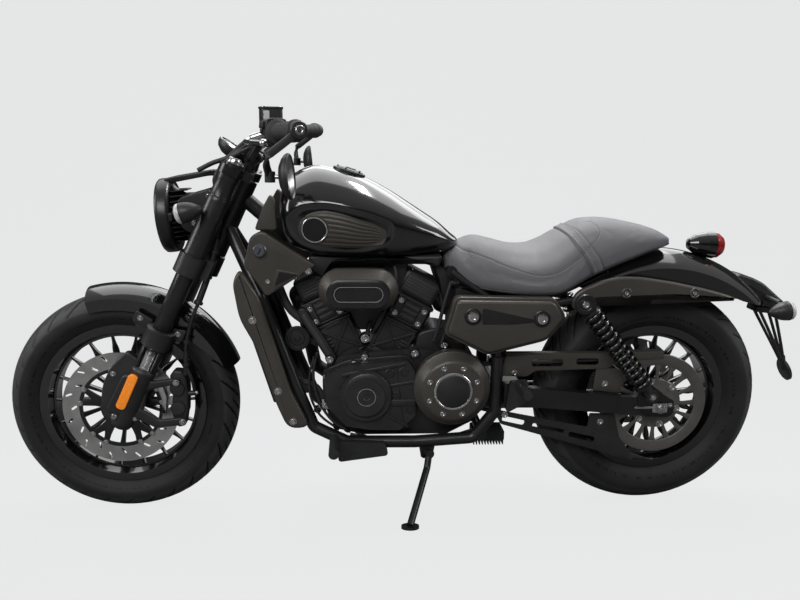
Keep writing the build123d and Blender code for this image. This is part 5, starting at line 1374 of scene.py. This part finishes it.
# stitches: short capsules laid on the seat where rays from the side meet it
def stitchesOn(made, lines, step=7.5, length=5.0, radius=0.75):
    tree = BVHTree.FromPolygons([tuple(v) for v in placesOf(made.data)],
                                [tuple(p.vertices) for p in made.data.polygons])
    across = Vector(leanTurn @ rightAxis)
    parts = []
    for line, from_ in lines:
        line = np.asarray(line, float)
        reach = reachAlong(line)
        for at in np.arange(step / 2, reach[-1] - length, step):
            ends = []
            for where in (at, at + length):
                x, z = (np.interp(where, reach, line[:, i]) for i in (0, 1))
                hit = tree.ray_cast(Vector(placed((x, from_, z))), across)
                if hit[0] is None:
                    break
                ends.append((uprightOf(np.array(hit[0])), leanTurn.T @ np.array(hit[1])))
            if len(ends) < 2 or np.linalg.norm(ends[1][0] - ends[0][0]) > length * 2.5:
                continue
            (first, out), (last, _) = ends
            middle = (first + last) / 2 + out * radius * 0.9
            path = np.array((first, first + (middle - first) * 0.6 + out * 0.3, middle,
                             last + (middle - last) * 0.6 + out * 0.3, last))
            parts.append(tube(path, np.array((0.25, 0.8, 1, 0.8, 0.25)) * radius, 6))
    return parts


def besideLine(line, offset):
    line = curve(line, 60)
    along = unit(np.gradient(line, axis=0))
    return line + offset * np.stack((-along[:, 1], along[:, 0]), -1)


seatMade = seatPad()
strapSide = np.stack((strapLine[:, 1], strapLine[:, 0]), -1)[1:-1].astype(float)
stitchLines = [(besideLine(seatSeams["rider"], offset), -300) for offset in (-3.6, 3.6)]
stitchLines += [(besideLine(seatSeams["panel"], offset), -300) for offset in (-3.4, 3.4)]
stitchLines += [(besideLine(strapSide, offset), -300) for offset in (-6.5, 6.5)]
piece("seat_stitches", bothSides(stitchesOn(seatMade, stitchLines)), "seat", "thread", sharp=70)


# dark pan under the pad, its lip following the pad's lower edge
def seatPanParts():
    rows = sectionsOf(seatTable, 60)[4:-3]
    path = np.stack((rows[:, 0], -rows[:, 3] * rows[:, 5] - 1.5, rows[:, 1] + 2.5), -1)
    lip = [(cos(a) * 3.2, sin(a) * 4.0) for a in circle(10)]
    pan = slab([(150, 646), (240, 622), (330, 612), (430, 612), (500, 648), (560, 672), (560, 664), (505, 636),
                (430, 600), (330, 600), (240, 610), (146, 632)], 4, -92, 92, 4)
    return [tube(path, 1.0, 10, rightAxis, lip)], [pan]


seatLip, seatPan = seatPanParts()
piece("seat_lip", bothSides(seatLip), "seat", "black_plastic", 60)
piece("seat_pan", seatPan, "seat", "black_plastic")
print("seat made")


legs = {"behind": 20.0, "spread": 105.0, "casting": 30.0, "sleeve": 21.0, "window": (141.0, 203.0), "clamp": 36.5}
castingWeb = [(-37, 168), (-58, 116), (-60, 64), (-50, 26), (-34, -10), (0, -28), (40, -22), (60, 28), (48, 96),
              (40, 150)]
fenderEars = {"fore": [(-58, 238), (-58, 268), (-10, 262), (-10, 232)],
              "aft": [(40, 234), (40, 262), (76, 270), (76, 238)]}


# a lathe about the left leg, its profile's height measured from the front axle
def onLeg(profile, sides=44, ring=False, six=None):
    return lathe(profile, onFork(0, legs["behind"], -legs["spread"]), forkUp, sides, six, ring)


# wall of the window: an open ring, from one edge of the slot round to the other, carried along the leg
def windowWall():
    low, high = legs["window"]
    turn = np.linspace(radians(-48), radians(226), 44)
    arc = np.stack((np.cos(turn), np.sin(turn)), -1)
    ring = np.concatenate((29.0 * arc, 24.0 * arc[::-1]))

    def place(u, v, w):
        return onFork(w, legs["behind"] + u, -legs["spread"] + v)
    return prism(ring, low, high, 0.4, place, 1)


def castingParts():
    low, high = legs["window"]
    clamp = legs["clamp"]
    foot = [(0, -34), (16, -33), (25, -28), (29.5, -18), (30, -8), (30, 128), (31.6, 131), (31.6, 137), (29, 140),
            (26, low + 3), (15, low + 3), (0, low + 3)]
    collar = [(15, high - 2), (29, high - 2), (31, high + 1), (clamp, high + 4), (clamp, high + 40),
              (clamp + 1.5, high + 44), (clamp + 1.5, high + 50), (clamp - 2, high + 52), (24, high + 52),
              (23, high + 46)]
    parts = [onLeg(foot), windowWall(), onLeg(collar)]
    parts.append(slab(castingWeb, (10, 18, 18, 18, 20, 20, 18, 18, 14, 6), -118, -93, 5, forkView))
    for outline in fenderEars.values():
        parts.append(slab(outline, 5, -93, -85, 1.5, forkView))
    parts.append(slab([(-26, 6), (26, 6), (20, 118), (-20, 118)], 16, -134, -118, 5, forkView))
    return parts


# thin ribs turned round the inner sleeve
def sleeveParts():
    low, high = legs["window"]
    reach = np.arange(low, high, 1.1)
    radius = legs["sleeve"] + 0.9 * (np.arange(len(reach)) % 2)
    return [onLeg(np.stack((radius, reach), -1), 56)]


def forkBolts():
    parts = bolts([onFork(254, -42, -93), onFork(254, 59, -93), onFork(99, -46, -118), onFork(10, 48, -118)],
                  leftAxis, 5.2, 5)
    parts += bolts([onFork(742, legs["behind"], -legs["spread"]) - forkUp * 29], forkUp, 17, 12, 24, 1.12)
    parts += bolts([onFork(694, 52, -45) + (0, 0, 50)], forkUp, 6, 5)
    return parts


# upper stanchion covers: turned tubes with a lip at each end
def coverParts():
    return [onLeg([(22, 250), (23.5, 252), (23.5, 408), (20, 412)]),
            onLeg([(24, 462), (28.5, 463), (29, 468), (28, 473), (28, 560), (29.2, 566), (29.2, 572), (28, 578),
                   (28, 612), (27, 622), (25.5, 624), (25.5, 664), (27, 668), (27, 682), (20, 684)])]


piece("fork_castings", bothSides(castingParts()), "fork_lowers", sharp=46, hides=("fork_lowers",))
piece("fork_sleeves", bothSides(sleeveParts()), "fork_lowers", "polished_alloy", sharp=20)
piece("fork_bolts", bothSides(forkBolts()), "fork_lowers", "bright_bolt")
piece("fork_covers", bothSides(coverParts()), "fork_uppers", "satin_black")

# caliper: two slim arms from the casting, a narrow body that straddles the disc, and its pads
caliper = {"body": [(-572, 398), (-560, 412), (-540, 410), (-531, 392), (-527, 350), (-530, 300), (-537, 262),
                    (-556, 258), (-566, 276), (-571, 300), (-566, 350)],
           "bridge": [(-566, 392), (-550, 404), (-534, 394), (-530, 350), (-534, 290), (-546, 268), (-553, 290),
                      (-550, 345)],
           "upper": [(-640, 380), (-622, 364), (-566, 376), (-553, 380), (-552, 391), (-566, 393), (-612, 386),
                     (-634, 398)],
           "lower": [(-668, 292), (-612, 262), (-600, 262), (-545, 268), (-532, 274), (-532, 286), (-546, 288),
                     (-600, 282), (-650, 316)]}


def caliperParts():
    parts = [slab(caliper["body"], 6, -108, -72, 5), slab(caliper["bridge"], 6, -84, -46, 5),
             slab(caliper["upper"], 5, -120, -108, 3), slab(caliper["lower"], 5, -120, -108, 3)]
    parts += [lathe([(0, 0), (19, 0), (19, 4), (17, 7), (9, 8), (0, 8)], (x, -108, z), leftAxis, 36)
              for x, z in ((-553, 364), (-553, 312))]
    for x, z in ((-553, 384), (-541, 278)):
        parts.append(lathe([(0, 0), (9, 0), (9, 16), (0, 16)], (x, -106, z), leftAxis, 24))
    parts.append(lathe([(0, 0), (7, 0), (7, 26), (5, 28), (0, 28)], (-536, -96, 346), (1, 0, 0.1), 20))
    return parts


piece("caliper_body", caliperParts(), "front_caliper", sharp=44, hides=("front_caliper",))
padPlates = [slab([(-612, 366), (-598, 368), (-588, 330), (-592, 288), (-604, 284), (-600, 326)], 4, y, y + 5, 1)
             for y in (-82, -57)]
piece("caliper_pads", padPlates, "front_caliper", "polished_alloy", sharp=44)
caliperBolts = bolts([(-553, -122, 384), (-541, -122, 278)], leftAxis, 6, 5) + bolts([(-508, -96, 349)], (1, 0, 0.1), 5)
piece("caliper_bolts", caliperBolts, "front_caliper", "bright_bolt")

# brake hose, its stiff sleeve and the clips that hold both
brakeHose = [(-512, -97, 352), (-514, -104, 378), (-530, -104, 430), (-526, -100, 486), (-508, -96, 552),
             (-492, -92, 590), (-470, -84, 650), (-455, -78, 700), (-440, -70, 770), (-420, -66, 840),
             (-396, -64, 905)]
hoseSleeves = [([(-494, -93, 586), (-470, -84, 650), (-455, -78, 700), (-444, -72, 745)], 8.5),
               ([(-532, -104, 400), (-530, -104, 428), (-528, -102, 462)], 6.5)]
hoseClips = [((-530, -104, 426), 9), ((-526, -100, 484), 8), ((-494, -93, 588), 11), ((-469, -84, 652), 11),
             ((-452, -77, 712), 11)]


def clipRings(clips, path):
    path = curve(path, 200)
    tangent = unit(np.gradient(path, axis=0))
    parts = []
    for place, radius in clips:
        near = np.argmin(np.linalg.norm(path - np.array(place), axis=1))
        parts.append(lathe([(radius - 4, -4), (radius, -4), (radius + 1, 0), (radius, 4), (radius - 4, 4)], path[near],
                           tangent[near], 24))
    return parts


hoseParts = [tube(curve(brakeHose, 90), 4.6, 12)]
hoseParts += [tube(curve(points, 30), radius, 16) for points, radius in hoseSleeves]
piece("brake_hose", hoseParts + clipRings(hoseClips, brakeHose), "fork_lowers", "black_plastic")

# headlamp: rim, finned bowl, hoop over it and side brackets
lamp = {"centre": onFork(514, -80, 0), "ahead": unit((-1, 0, -0.09)), "fins": 11, "finGap": 12.5,
        "bracket": [(-538, 838), (-530, 850), (-456, 872), (-438, 866), (-462, 800), (-500, 756), (-532, 776)],
        "hoop": [(-580, 893), (-556, 899), (-468, 915), (-440, 916), (-440, 902), (-468, 901), (-552, 884),
                 (-576, 880)]}


def headlampParts():
    centre, ahead = lamp["centre"], lamp["ahead"]
    rim = [(80, -8), (88, -10), (93, -7), (95, -1), (95.5, 16), (94.5, 22), (91, 25.5), (87.5, 25), (86.4, 20),
           (86, 8), (80, 4)]
    parts = [lathe(rim, centre, ahead, 96, ring=True),
             lathe([(0, -66), (30, -64), (46, -56), (54, -40), (70, -14), (82, -6), (82, -2), (0, -2)], centre, ahead,
                   64)]
    place = planeView(centre, ahead, leftAxis, unit(np.cross(ahead, leftAxis)))
    for level in (np.arange(lamp["fins"]) - (lamp["fins"] - 1) / 2) * lamp["finGap"]:
        half = sqrt(82 ** 2 - level ** 2)
        back = -22 - 42 * sqrt(1 - (level / 82) ** 2)
        outline = rounded([(back, -half * 0.62), (-20, -half), (-6, -half), (-6, half), (-20, half),
                           (back, half * 0.62)], 8, 4)
        parts.append(prism(outline, level - 1.5, level + 1.5, 0.5, place, 1))
    parts.append(slab(lamp["hoop"], 6, -30, 30, 3))
    parts += bothSides([slab(lamp["bracket"], (10, 10, 8, 8, 12, 16, 14), -77.5, -68, 2)])
    parts += bothSides([prism(boxLine((-572, 812), (-548, 792), 4), -92, -74, 2)])
    return parts


bowlReach = np.linspace(12, 84, 14)
bowlProfile = np.stack((bowlReach, -34 + 38 * (bowlReach / 84) ** 2), -1)
bowlProfile = np.concatenate((bowlProfile, [(84, 0.5), (40, -22), (12, -38), (0, -38)]))
piece("headlamp_body", headlampParts(), "headlamp_shell", "satin_black", sharp=42, hides=("headlamp_shell",))
piece("headlamp_bowl", [lathe(bowlProfile, lamp["centre"], lamp["ahead"], 72),
                        lathe([(0, -30), (26, -28), (30, -20), (30, 0), (26, 4), (10, 6), (0, 6)], lamp["centre"],
                              lamp["ahead"], 48)],
      "headlamp_shell", "polished_alloy")
piece("headlamp_bolts", bothSides(bolts([(-460, -77, 854), (-497, -77, 787)], leftAxis, 5.5, 5)), "headlamp_shell",
      "bright_bolt")

# indicators: a black bullet, its pale lens and its stalk
finishes["pale_lens"] = brightFinish("pale_lens", (0.62, 0.62, 0.6), 0.14, 0.0)


def bulletParts(tip, ahead):
    reach = np.linspace(0, 1, 14)
    shell = np.stack((25 * np.sin(reach * pi / 2) ** 0.75, 50 * reach), -1)
    shell = np.concatenate((shell, [(25.6, 51), (25.6, 54), (24, 55), (0, 55)]))
    lens = np.array([(0, 53), (23.4, 53), (24.4, 56), (24.2, 61), (21, 65), (14, 68), (0, 69.5)])
    return lathe(shell, tip, ahead, 44), lathe(lens, tip, ahead, 44)


bullet, lens = bulletParts(onFork(588, 0, -152), unit((-1, 0, -0.25)))
stalk = tube(curve([onFork(569, -25, -76), onFork(569, -25, -112), onFork(572, -27, -150)], 16), 8, 16)
piece("front_bullets", bothSides([bullet, stalk]), "front_indicators", hides=("front_indicators",))
piece("front_bullet_lenses", bothSides([lens]), "front_indicators", "pale_lens")

# reflectors: a rounded bar of ribbed lens
reflectorLine = boxLine((-6, 28), (18, 127), 11.4, 8)
piece("fork_reflector_lenses", bothSides([prism(reflectorLine, -143, -133, 2.2, forkView)]), "fork_reflectors",
      hides=("fork_reflectors",))
print("fork and headlamp made")


bar = {"centre": onFork(739, 48, 0), "corner": (52.0, 190.0, 1010.0), "end": (132.0, 396.0, 1016.0), "gripFrom": 276.0,
       "grip": 18.0}
barCorner = np.array((bar["centre"][0] + bar["corner"][0], -bar["corner"][1], bar["corner"][2]))
barEnd = np.array((bar["centre"][0] + bar["end"][0], -bar["end"][1], bar["end"][2]))
barOut = unit(barEnd - barCorner)
gripLength = np.linalg.norm(barEnd - barCorner) * (bar["end"][1] - bar["gripFrom"]) / (bar["end"][1] - bar["corner"][1])


# point on the left bar's straight end, measured from the grip's inner end
def onBar(distance, ahead=0.0, up=0.0, y=0.0):
    return barEnd + barOut * (distance - gripLength) + np.array((-ahead, y, up))


# ribbed sleeve with end collars: radius steps between rib tops and grooves
def gripParts():
    reach = np.linspace(14, gripLength - 12, 86)
    ribs = bar["grip"] + 0.9 * (np.sin(reach * 1.25) > -0.2)
    middle = np.stack((ribs, reach), -1)
    ends = [(12, -3), (24, -3), (27.5, 0), (27.5, 6), (24, 9), (19.5, 11), (19.5, 13)]
    close = [(20, gripLength - 10), (20.5, gripLength), (22, gripLength + 1), (22.5, gripLength + 3),
             (22.5, gripLength + 11), (20, gripLength + 15), (13, gripLength + 16), (12, gripLength + 14),
             (0, gripLength + 14)]
    return [lathe(np.concatenate((ends, middle, close)), onBar(0), barOut, 44)]


def housingParts():
    parts = []
    place = planeView(onBar(0), (0, 0, 1), unit(np.cross((0, 0, 1), barOut)), barOut)
    parts.append(prism(boxLine((-30, -24), (30, 24), 13), -48, -3, 4, place))
    parts.append(slab([(-34, -14), (-26, -26), (-8, -30), (-8, 10)], 6, -44, -10, 3, place))
    parts.append(slab([(8, -32), (24, -30), (24, -18), (8, -18)], 4, -40, -14, 2, place))
    parts += [lathe([(0, 0), (6.5, 0), (6, 4), (0, 5)], onBar(s, 25, up), (-1, 0, 0), 20)
              for s, up in ((-34, 2), (-18, -10))]
    return parts


# mirror: collar and flat bent arm from the bar's end, a stud and a round dished head
def mirrorArms():
    start = onBar(gripLength + 16.4)
    out = start + barOut * 12
    elbow, hang = out + (-62, -6, -50), out + (-62, 17, -96)
    blade = boxLine((-1, -0.42), (1, 0.42), 0.3, 3)
    path = np.concatenate((curve([out + (12, 0, 8), out, out + (-16, -2, -14), elbow], 24),
                           curve([elbow, elbow + (-4, 2, -12), hang], 12)[1:]))
    collar = lathe([(0, 0), (17, 0), (19, 2), (19, 15), (17, 18), (11, 19), (0, 19)], start, barOut, 36)
    return [collar, tube(path, 8.5, 12, (0.3, 0, 1), blade)], hang


mirrorParts, mirrorHang = mirrorArms()
mirrorAxis = unit((1, -0.1, 0.08))
mirrorShell = [(0, -15), (12, -15), (26, -12), (38, -6), (45, 0), (47.5, 5), (47.5, 9), (45.5, 10.5), (44.5, 8),
               (0, 7.5)]
mirrorCentre = mirrorHang + (34, 0, 2)
mirrorParts.append(lathe(mirrorShell, mirrorCentre, mirrorAxis, 64))
mirrorParts.append(lathe([(0, -12), (11, -12), (11, 10), (0, 12)], mirrorHang + (0, 0, 2), (0, 0, 1), 24))
piece("grip_sleeves", bothSides(gripParts()), "grips", sharp=30, hides=("grips",))
piece("switch_housings", bothSides(housingParts()), "controls", sharp=46)
piece("mirror_arms", bothSides(mirrorParts), "mirrors", hides=("mirrors",))
piece("mirror_studs", bothSides([tube(np.array([mirrorHang + (4, 0, 2), mirrorCentre - mirrorAxis * 12]), 4.5, 16)]),
      "mirrors", "polished_alloy")
piece("mirror_glasses", bothSides([lathe([(0, 6), (44.2, 6), (44.2, 8.6), (0, 9.4)], mirrorCentre, mirrorAxis, 64)]),
      "mirrors", "polished_alloy")
piece("bar_end_bolts", bothSides(bolts([onBar(gripLength + 35)], barOut, 9.5, 5, 24, 1.1)), "grips", "bright_bolt")

# brake fluid box on the right bar, with its lid, window and screws
fluidTurn = radians(20)
fluidBase = (onBar(-71) + (-36, 12, 24)) * (1, -1, 1)
fluidPlace = planeView(fluidBase, (cos(fluidTurn), sin(fluidTurn), 0), (-sin(fluidTurn), cos(fluidTurn), 0), (0, 0, 1))
fluidBox = [prism(boxLine((-29.5, -22.5), (29.5, 22.5), 8), 0, 39, 1.5, fluidPlace),
            prism(boxLine((-31, -24), (31, 24), 8), 38, 45, 2, fluidPlace)]
piece("fluid_box", fluidBox, "controls", "black_plastic")
fluidFace = planeView(fluidPlace(0.0, -22.6, 0.0), fluidPlace(1.0, 0.0, 0.0) - fluidBase, (0, 0, 1),
                      fluidPlace(0.0, -1.0, 0.0) - fluidBase)
piece("fluid_window", [prism(boxLine((-26, 4), (-10, 34), 4), -1, 2.2, 0.8, fluidFace)], "controls", "pale_lens")
piece("fluid_screws", bolts([fluidPlace(u, v, 45.0) for u, v in ((-22, -15), (22, 15), (-22, 15), (22, -15))],
                            (0, 0, 1), 3.4, 1.6),
      "controls", "bright_bolt")
redParts = [prism(boxLine((-9, -6), (9, 6), 4), 0, 9, 2, planeView(onBar(s, ahead, up) * (1, -1, 1), (1, 0, 0),
                                                                   (0, 0, 1), leftAxis))
            for s, ahead, up in ((-52, 12, 30), (-50, 16, -14))]
piece("red_switches", redParts, "controls", "red_switch")

# instrument: a shallow cup with a glass face, a rim and its stem
faceAxis = unit((0.6, 0, 0.8))
dialCentre = onFork(728, -6, 0)
dialCup = [(0, -16), (26, -16), (40, -8), (46, 2), (47, 11), (44.5, 13), (42, 11), (0, 10)]
dialStem = tube(curve([onFork(704, 22, 0), onFork(718, 4, 0), dialCentre - faceAxis * 12], 14), 11, 20)
piece("instrument_cup", [lathe(dialCup, dialCentre, faceAxis, 72), dialStem], "instrument", hides=("instrument",))
piece("instrument_rim", [lathe([(42.2, 10), (46.5, 11), (45.6, 14), (43, 14)], dialCentre, faceAxis, 72, ring=True)],
      "instrument", "axle_steel")
piece("instrument_face", [lathe([(0, 9), (42.4, 9), (42.4, 11.6), (0, 12.2)], dialCentre, faceAxis, 64)], "instrument",
      "gloss_black")
marks = []
for turn in np.radians(np.arange(-120, 121, 24)):
    first, second = squareTo(faceAxis)[1:]
    spoke = cos(turn) * first + sin(turn) * second
    marks.append(prism([(28, -0.8), (36, -0.8), (36, 0.8), (28, 0.8)], 12.0, 12.7, 0.2,
                       planeView(dialCentre, spoke, np.cross(faceAxis, spoke), faceAxis), 1))
piece("instrument_marks", marks, "instrument", "pale_lens")

# clamps, cables and the loom ahead of the head
cables = [([(-487, -58, 916), (-452, -60, 934), (-410, -60, 950), (-388, -44, 972), (-374, -34, 985)], 6.0),
          ([(-440, -84, 880), (-436, -88, 908), (-402, -92, 948), (-366, -96, 968), (-322, -140, 990)], 5.0),
          ([(-436, -60, 850), (-448, -64, 892), (-416, -70, 940), (-372, -90, 972), (-310, -176, 1000)], 4.0),
          ([(-420, 52, 840), (-440, 60, 890), (-410, 70, 950), (-366, 96, 980), (-312, 176, 1002)], 5.0),
          ([(-430, 20, 850), (-452, 18, 900), (-430, 10, 936), (-412, 0, 960)], 4.0)]
piece("bar_cables", [tube(curve(points, 40), radius, 12) for points, radius in cables], "handlebar", "black_plastic")
clampView = planeView(bar["centre"], forkBack, forkUp, leftAxis)
clampCaps = []
for y in (-45, 45):
    clampCaps.append(slab([(-24, -2), (24, -2), (24, 12), (12, 20), (-12, 20), (-24, 12)], 5, y - 15, y + 15, 2.5,
                          clampView))
piece("bar_clamps", clampCaps, "top_yoke", "satin_black")
piece("bar_clamp_bolts", bolts([clampView(u, 13.0, v) for u in (-17, 17) for v in (-45, 45)], forkUp, 5.5, 5),
      "top_yoke", "bright_bolt")
bpy.data.objects["top_yoke"].material_slots[0].material = finishes["alloy_black"]
print("handlebar made")


# fender struts: a curved band each side with two sunk bolts
strut = {"outline": [(456, 582), (458, 612), (478, 631), (503, 641), (535, 655), (575, 663), (632, 662), (717, 649),
                     (797, 633), (862, 616), (886, 607), (880, 600), (840, 604), (781, 607), (730, 610), (679, 609),
                     (640, 603), (607, 596), (572, 592), (540, 598), (520, 604), (505, 596), (492, 580), (470, 573)],
         "outer": -137.5, "inner": -119.5, "bolts": [(595, 621), (774, 621)]}


def strutParts():
    parts = [slab(strut["outline"], 16, strut["outer"], strut["inner"], 8.5, steps=6)]
    for x, z in strut["bolts"]:
        parts.append(lathe([(9, 125), (9, 138), (11, 139.4), (13, 138.8), (14, 137), (14, 125)], (x, 0, z), leftAxis,
                           36, ring=True))
        parts.append(lathe([(0, 104), (9, 104), (9, 128), (0, 128)], (x, 0, z), leftAxis, 24))
    return parts


piece("strut_bands", bothSides(strutParts()), "fender_struts", sharp=46, hides=("fender_struts",))
piece("strut_bolts", bothSides(bolts([(x, -136, z) for x, z in strut["bolts"]], leftAxis, 6.4, 4)), "fender_struts",
      "bright_bolt")


# a plate with slots: each slot is centre x, z, length, height and turn, cut by a difference
def slotted(name, outline, slots, low, high, bevel, node, finish, hides=()):
    plate = piece(name, [slab(outline, 5, low, high, bevel)], node, finish, 40, hides, slotOf[node])
    cutters = []
    for x, z, length, height, turn in slots:
        c, s = cos(radians(turn)), sin(radians(turn))
        corners = boxLine((-length / 2, -height / 2), (length / 2, height / 2), height * 0.48, 8)
        cutters.append(prism(corners @ np.array(((c, s), (-s, c))) + (x, z), low - 20, high + 20, 0.1, steps=1))
    cutter = linked("cutter", meshOf("cutter", cutters))
    cut = plate.modifiers.new("slots", "BOOLEAN")
    cut.operation, cut.solver, cut.object = "DIFFERENCE", "EXACT", cutter
    bakedMesh(plate)
    plate.data.shade_smooth()
    plate.data.set_sharp_from_angle(angle=radians(40))
    bpy.data.objects.remove(cutter)
    return plate


upperGuard = [(296, 446), (284, 392), (355, 390), (378, 406), (568, 410), (604, 432), (722, 438), (716, 458),
              (555, 452), (400, 452)]
lowerGuard = [(268, 300), (400, 273), (526, 247), (530, 286), (598, 284), (616, 217), (652, 170), (716, 149),
              (608, 160), (560, 178), (472, 204), (290, 258)]
slotted("upper_guard", upperGuard, [(408, 427, 84, 20, 0), (515, 430, 60, 18, 0)], -108, -103, 1.2, "belt_guards",
        "bronze_grey", ("belt_guards",))
slotted("lower_guard", lowerGuard, [(324, 267, 62, 15, -13), (512, 219, 74, 15, -14), (420, 245, 90, 10, -13)], -108,
        -103, 1.2,
        "belt_guards", "cast_black")
guardParts = [slab([(300, 446), (560, 446), (722, 452), (722, 458), (560, 453), (300, 453)], 2, -104, -82, 1.5),
              slab([(540, 412), (616, 408), (622, 392), (607, 342), (535, 349)], 6, -106, -102, 1.2)]
piece("guard_brackets", guardParts, "belt_guards")
piece("guard_bolts", bolts([(321, -108, 400), (566, -106, 368), (560, -108, 262), (300, -108, 284)], leftAxis, 6.2,
                           4.5), "belt_guards",
      "bright_bolt")

# rear pulley: flange, rim, hub and bars between them, with six bolts
pulley = {"bars": 16, "bolts": 6, "boltReach": 61.0, "boltTurn": 46.0}


def pulleyParts():
    parts = [lathe(rows, rearAxle, leftAxis, 128, ring=True) for rows in (
        [(107, 97), (107, 101.5), (109, 103), (136, 103), (137.5, 101.5), (137.5, 98), (134, 97)],
        [(117, 82), (117, 98), (125, 98), (125, 82)], [(117, 79), (117, 83), (130, 83), (131, 81), (130, 79)],
        [(26, 70), (26, 104), (30, 106), (40, 106), (44, 103), (66, 102), (69, 99), (67, 94), (44, 90), (40, 70)])]
    turn = 2 * pi * np.arange(pulley["bars"]) / pulley["bars"]
    for angle in turn:
        spoke = np.array((cos(angle), 0, sin(angle)))
        side = np.array((-sin(angle), 0, cos(angle)))
        place = planeView(rearAxle, spoke, side, leftAxis)
        parts.append(prism([(60, -5.0), (78, -4.2), (98, -6.5), (112, -11), (112, 11), (98, 6.5), (78, 4.2), (60, 5.0)],
                           95, 101.5, 1.2, place, 2))
    return parts


pulleyBolts = np.radians(pulley["boltTurn"] + 360 / pulley["bolts"] * np.arange(pulley["bolts"]))
piece("pulley_plate", pulleyParts(), "rear_pulley", hides=("rear_pulley",))
piece("pulley_bolts", bolts([rearAxle + (pulley["boltReach"] * cos(a), -102, pulley["boltReach"] * sin(a))
                             for a in pulleyBolts], leftAxis, 7, 5), "rear_pulley", "bright_bolt")

# rear axle with its nuts, the adjuster blocks and the black brackets over the arm ends
axleParts = [lathe([(0, -141), (8.9, -141), (8.9, 141), (0, 141)], rearAxle, leftAxis, 32)]
axleParts += bothSides(nuts([rearAxle + (0, -141, 0)], leftAxis, 11, 9)
                       + [lathe([(9, 104), (14, 104), (14, 108), (9, 108)], rearAxle, leftAxis, 32, ring=True)])
axleParts.append(lathe([(9, 104), (9, 92), (14, 92), (14, 104)], rearAxle, leftAxis, 32, ring=True))
piece("rear_axle_nuts", axleParts, "rear_axle", hides=("rear_axle",))
adjuster = [prism(boxLine((688, 298), (728, 323), 3), -140.5, -136.5, 1)]
adjuster += [tube(np.array([(640, -134, 311), (700, -136, 311)]), 4, 14)]
piece("front_axle_pin", [lathe([(0, -135.5), (6.6, -135.5), (7.4, -134.5), (7.4, 134.5), (6.6, 135.5), (0, 135.5)],
                               frontAxle, leftAxis, 32)],
      "front_axle", hides=("front_axle",))
piece("axle_adjusters", bothSides(adjuster), "swing_arm", "bright_bolt")
endBracket = rounded([(646, 352), (660, 372), (682, 376), (716, 350), (746, 330), (748, 296), (736, 284), (672, 286),
                      (652, 306)], 7)
piece("arm_end_brackets", bothSides([prism(endBracket, -137, -131.5, 2)]), "swing_arm", "alloy_black")
piece("arm_bolts", bothSides(bolts([(736, -137, 318), (690, -137, 352)], leftAxis, 4.5, 3.5)), "swing_arm",
      "bright_bolt")

# plate holder: arched housing, forked stalk, bridge and a round reflector in its cup
holderArch = [(926, 640), (944, 652), (980, 642), (1014, 626), (1048, 598), (1080, 572), (1074, 560), (1052, 552),
              (1022, 562), (990, 586), (960, 616)]
stalkRuns = [[(1012, -18, 556), (1052, -14, 490), (1098, -7, 412), (1106, -6, 398)],
             [(1056, -20, 556), (1080, -14, 490), (1106, -7, 412), (1110, -6, 398)]]

reflector = (1116, 0, 371), unit((1, 0, 0.36))  # its place and the way it faces


def holderParts():
    parts = [slab(holderArch, 12, -34, 34, 7),
             slab([(1000, 545), (1066, 538), (1070, 552), (1004, 562)], 5, -26, 26, 3),
             slab([(1098, 420), (1112, 416), (1120, 372), (1108, 370)], 4, -11, 11, 3)]
    parts += bothSides([tube(curve(points, 20), 4.2, 12) for points in stalkRuns])
    parts.append(lathe([(0, -2), (29, -2), (32, 0), (32, 7), (30, 8.5), (29, 7), (0, 6)], *reflector, 56))
    parts.append(tube(np.array([(1021, -108, 588), (1021, 108, 588)]), 7.5, 20))
    return parts


piece("holder_frame", holderParts(), "plate_holder", hides=("plate_holder",))
piece("holder_reflector", [lathe([(0, 6), (28.6, 6), (28.6, 9), (25, 10.5), (0, 11)], *reflector, 56)],
      "plate_holder", "red_lens")
rearBullet, rearLens = bulletParts(np.array((976, -133, 567)), unit((1, 0, 0.12)))
piece("rear_bullets", bothSides([rearBullet, tube(np.array([(1021, -100, 588), (1016, -124, 580)]), 7, 16)]),
      "rear_indicators",
      hides=("rear_indicators",))
piece("rear_bullet_lenses", bothSides([rearLens]), "rear_indicators", "pale_lens")

# regulator: its cooling fins, and a black skin on the block
fins = [prism([(x - 1.3, 176), (x + 1.3, 176), (x + 1.3, 192), (x - 1.3, 192)], -52, 12, 0.5,
              steps=1) for x in range(230, 314, 8)]
piece("regulator_fins", fins, "regulator", "radiator_black")
bpy.data.objects["regulator"].material_slots[0].material = finishes["radiator_black"]
print("rear end made")
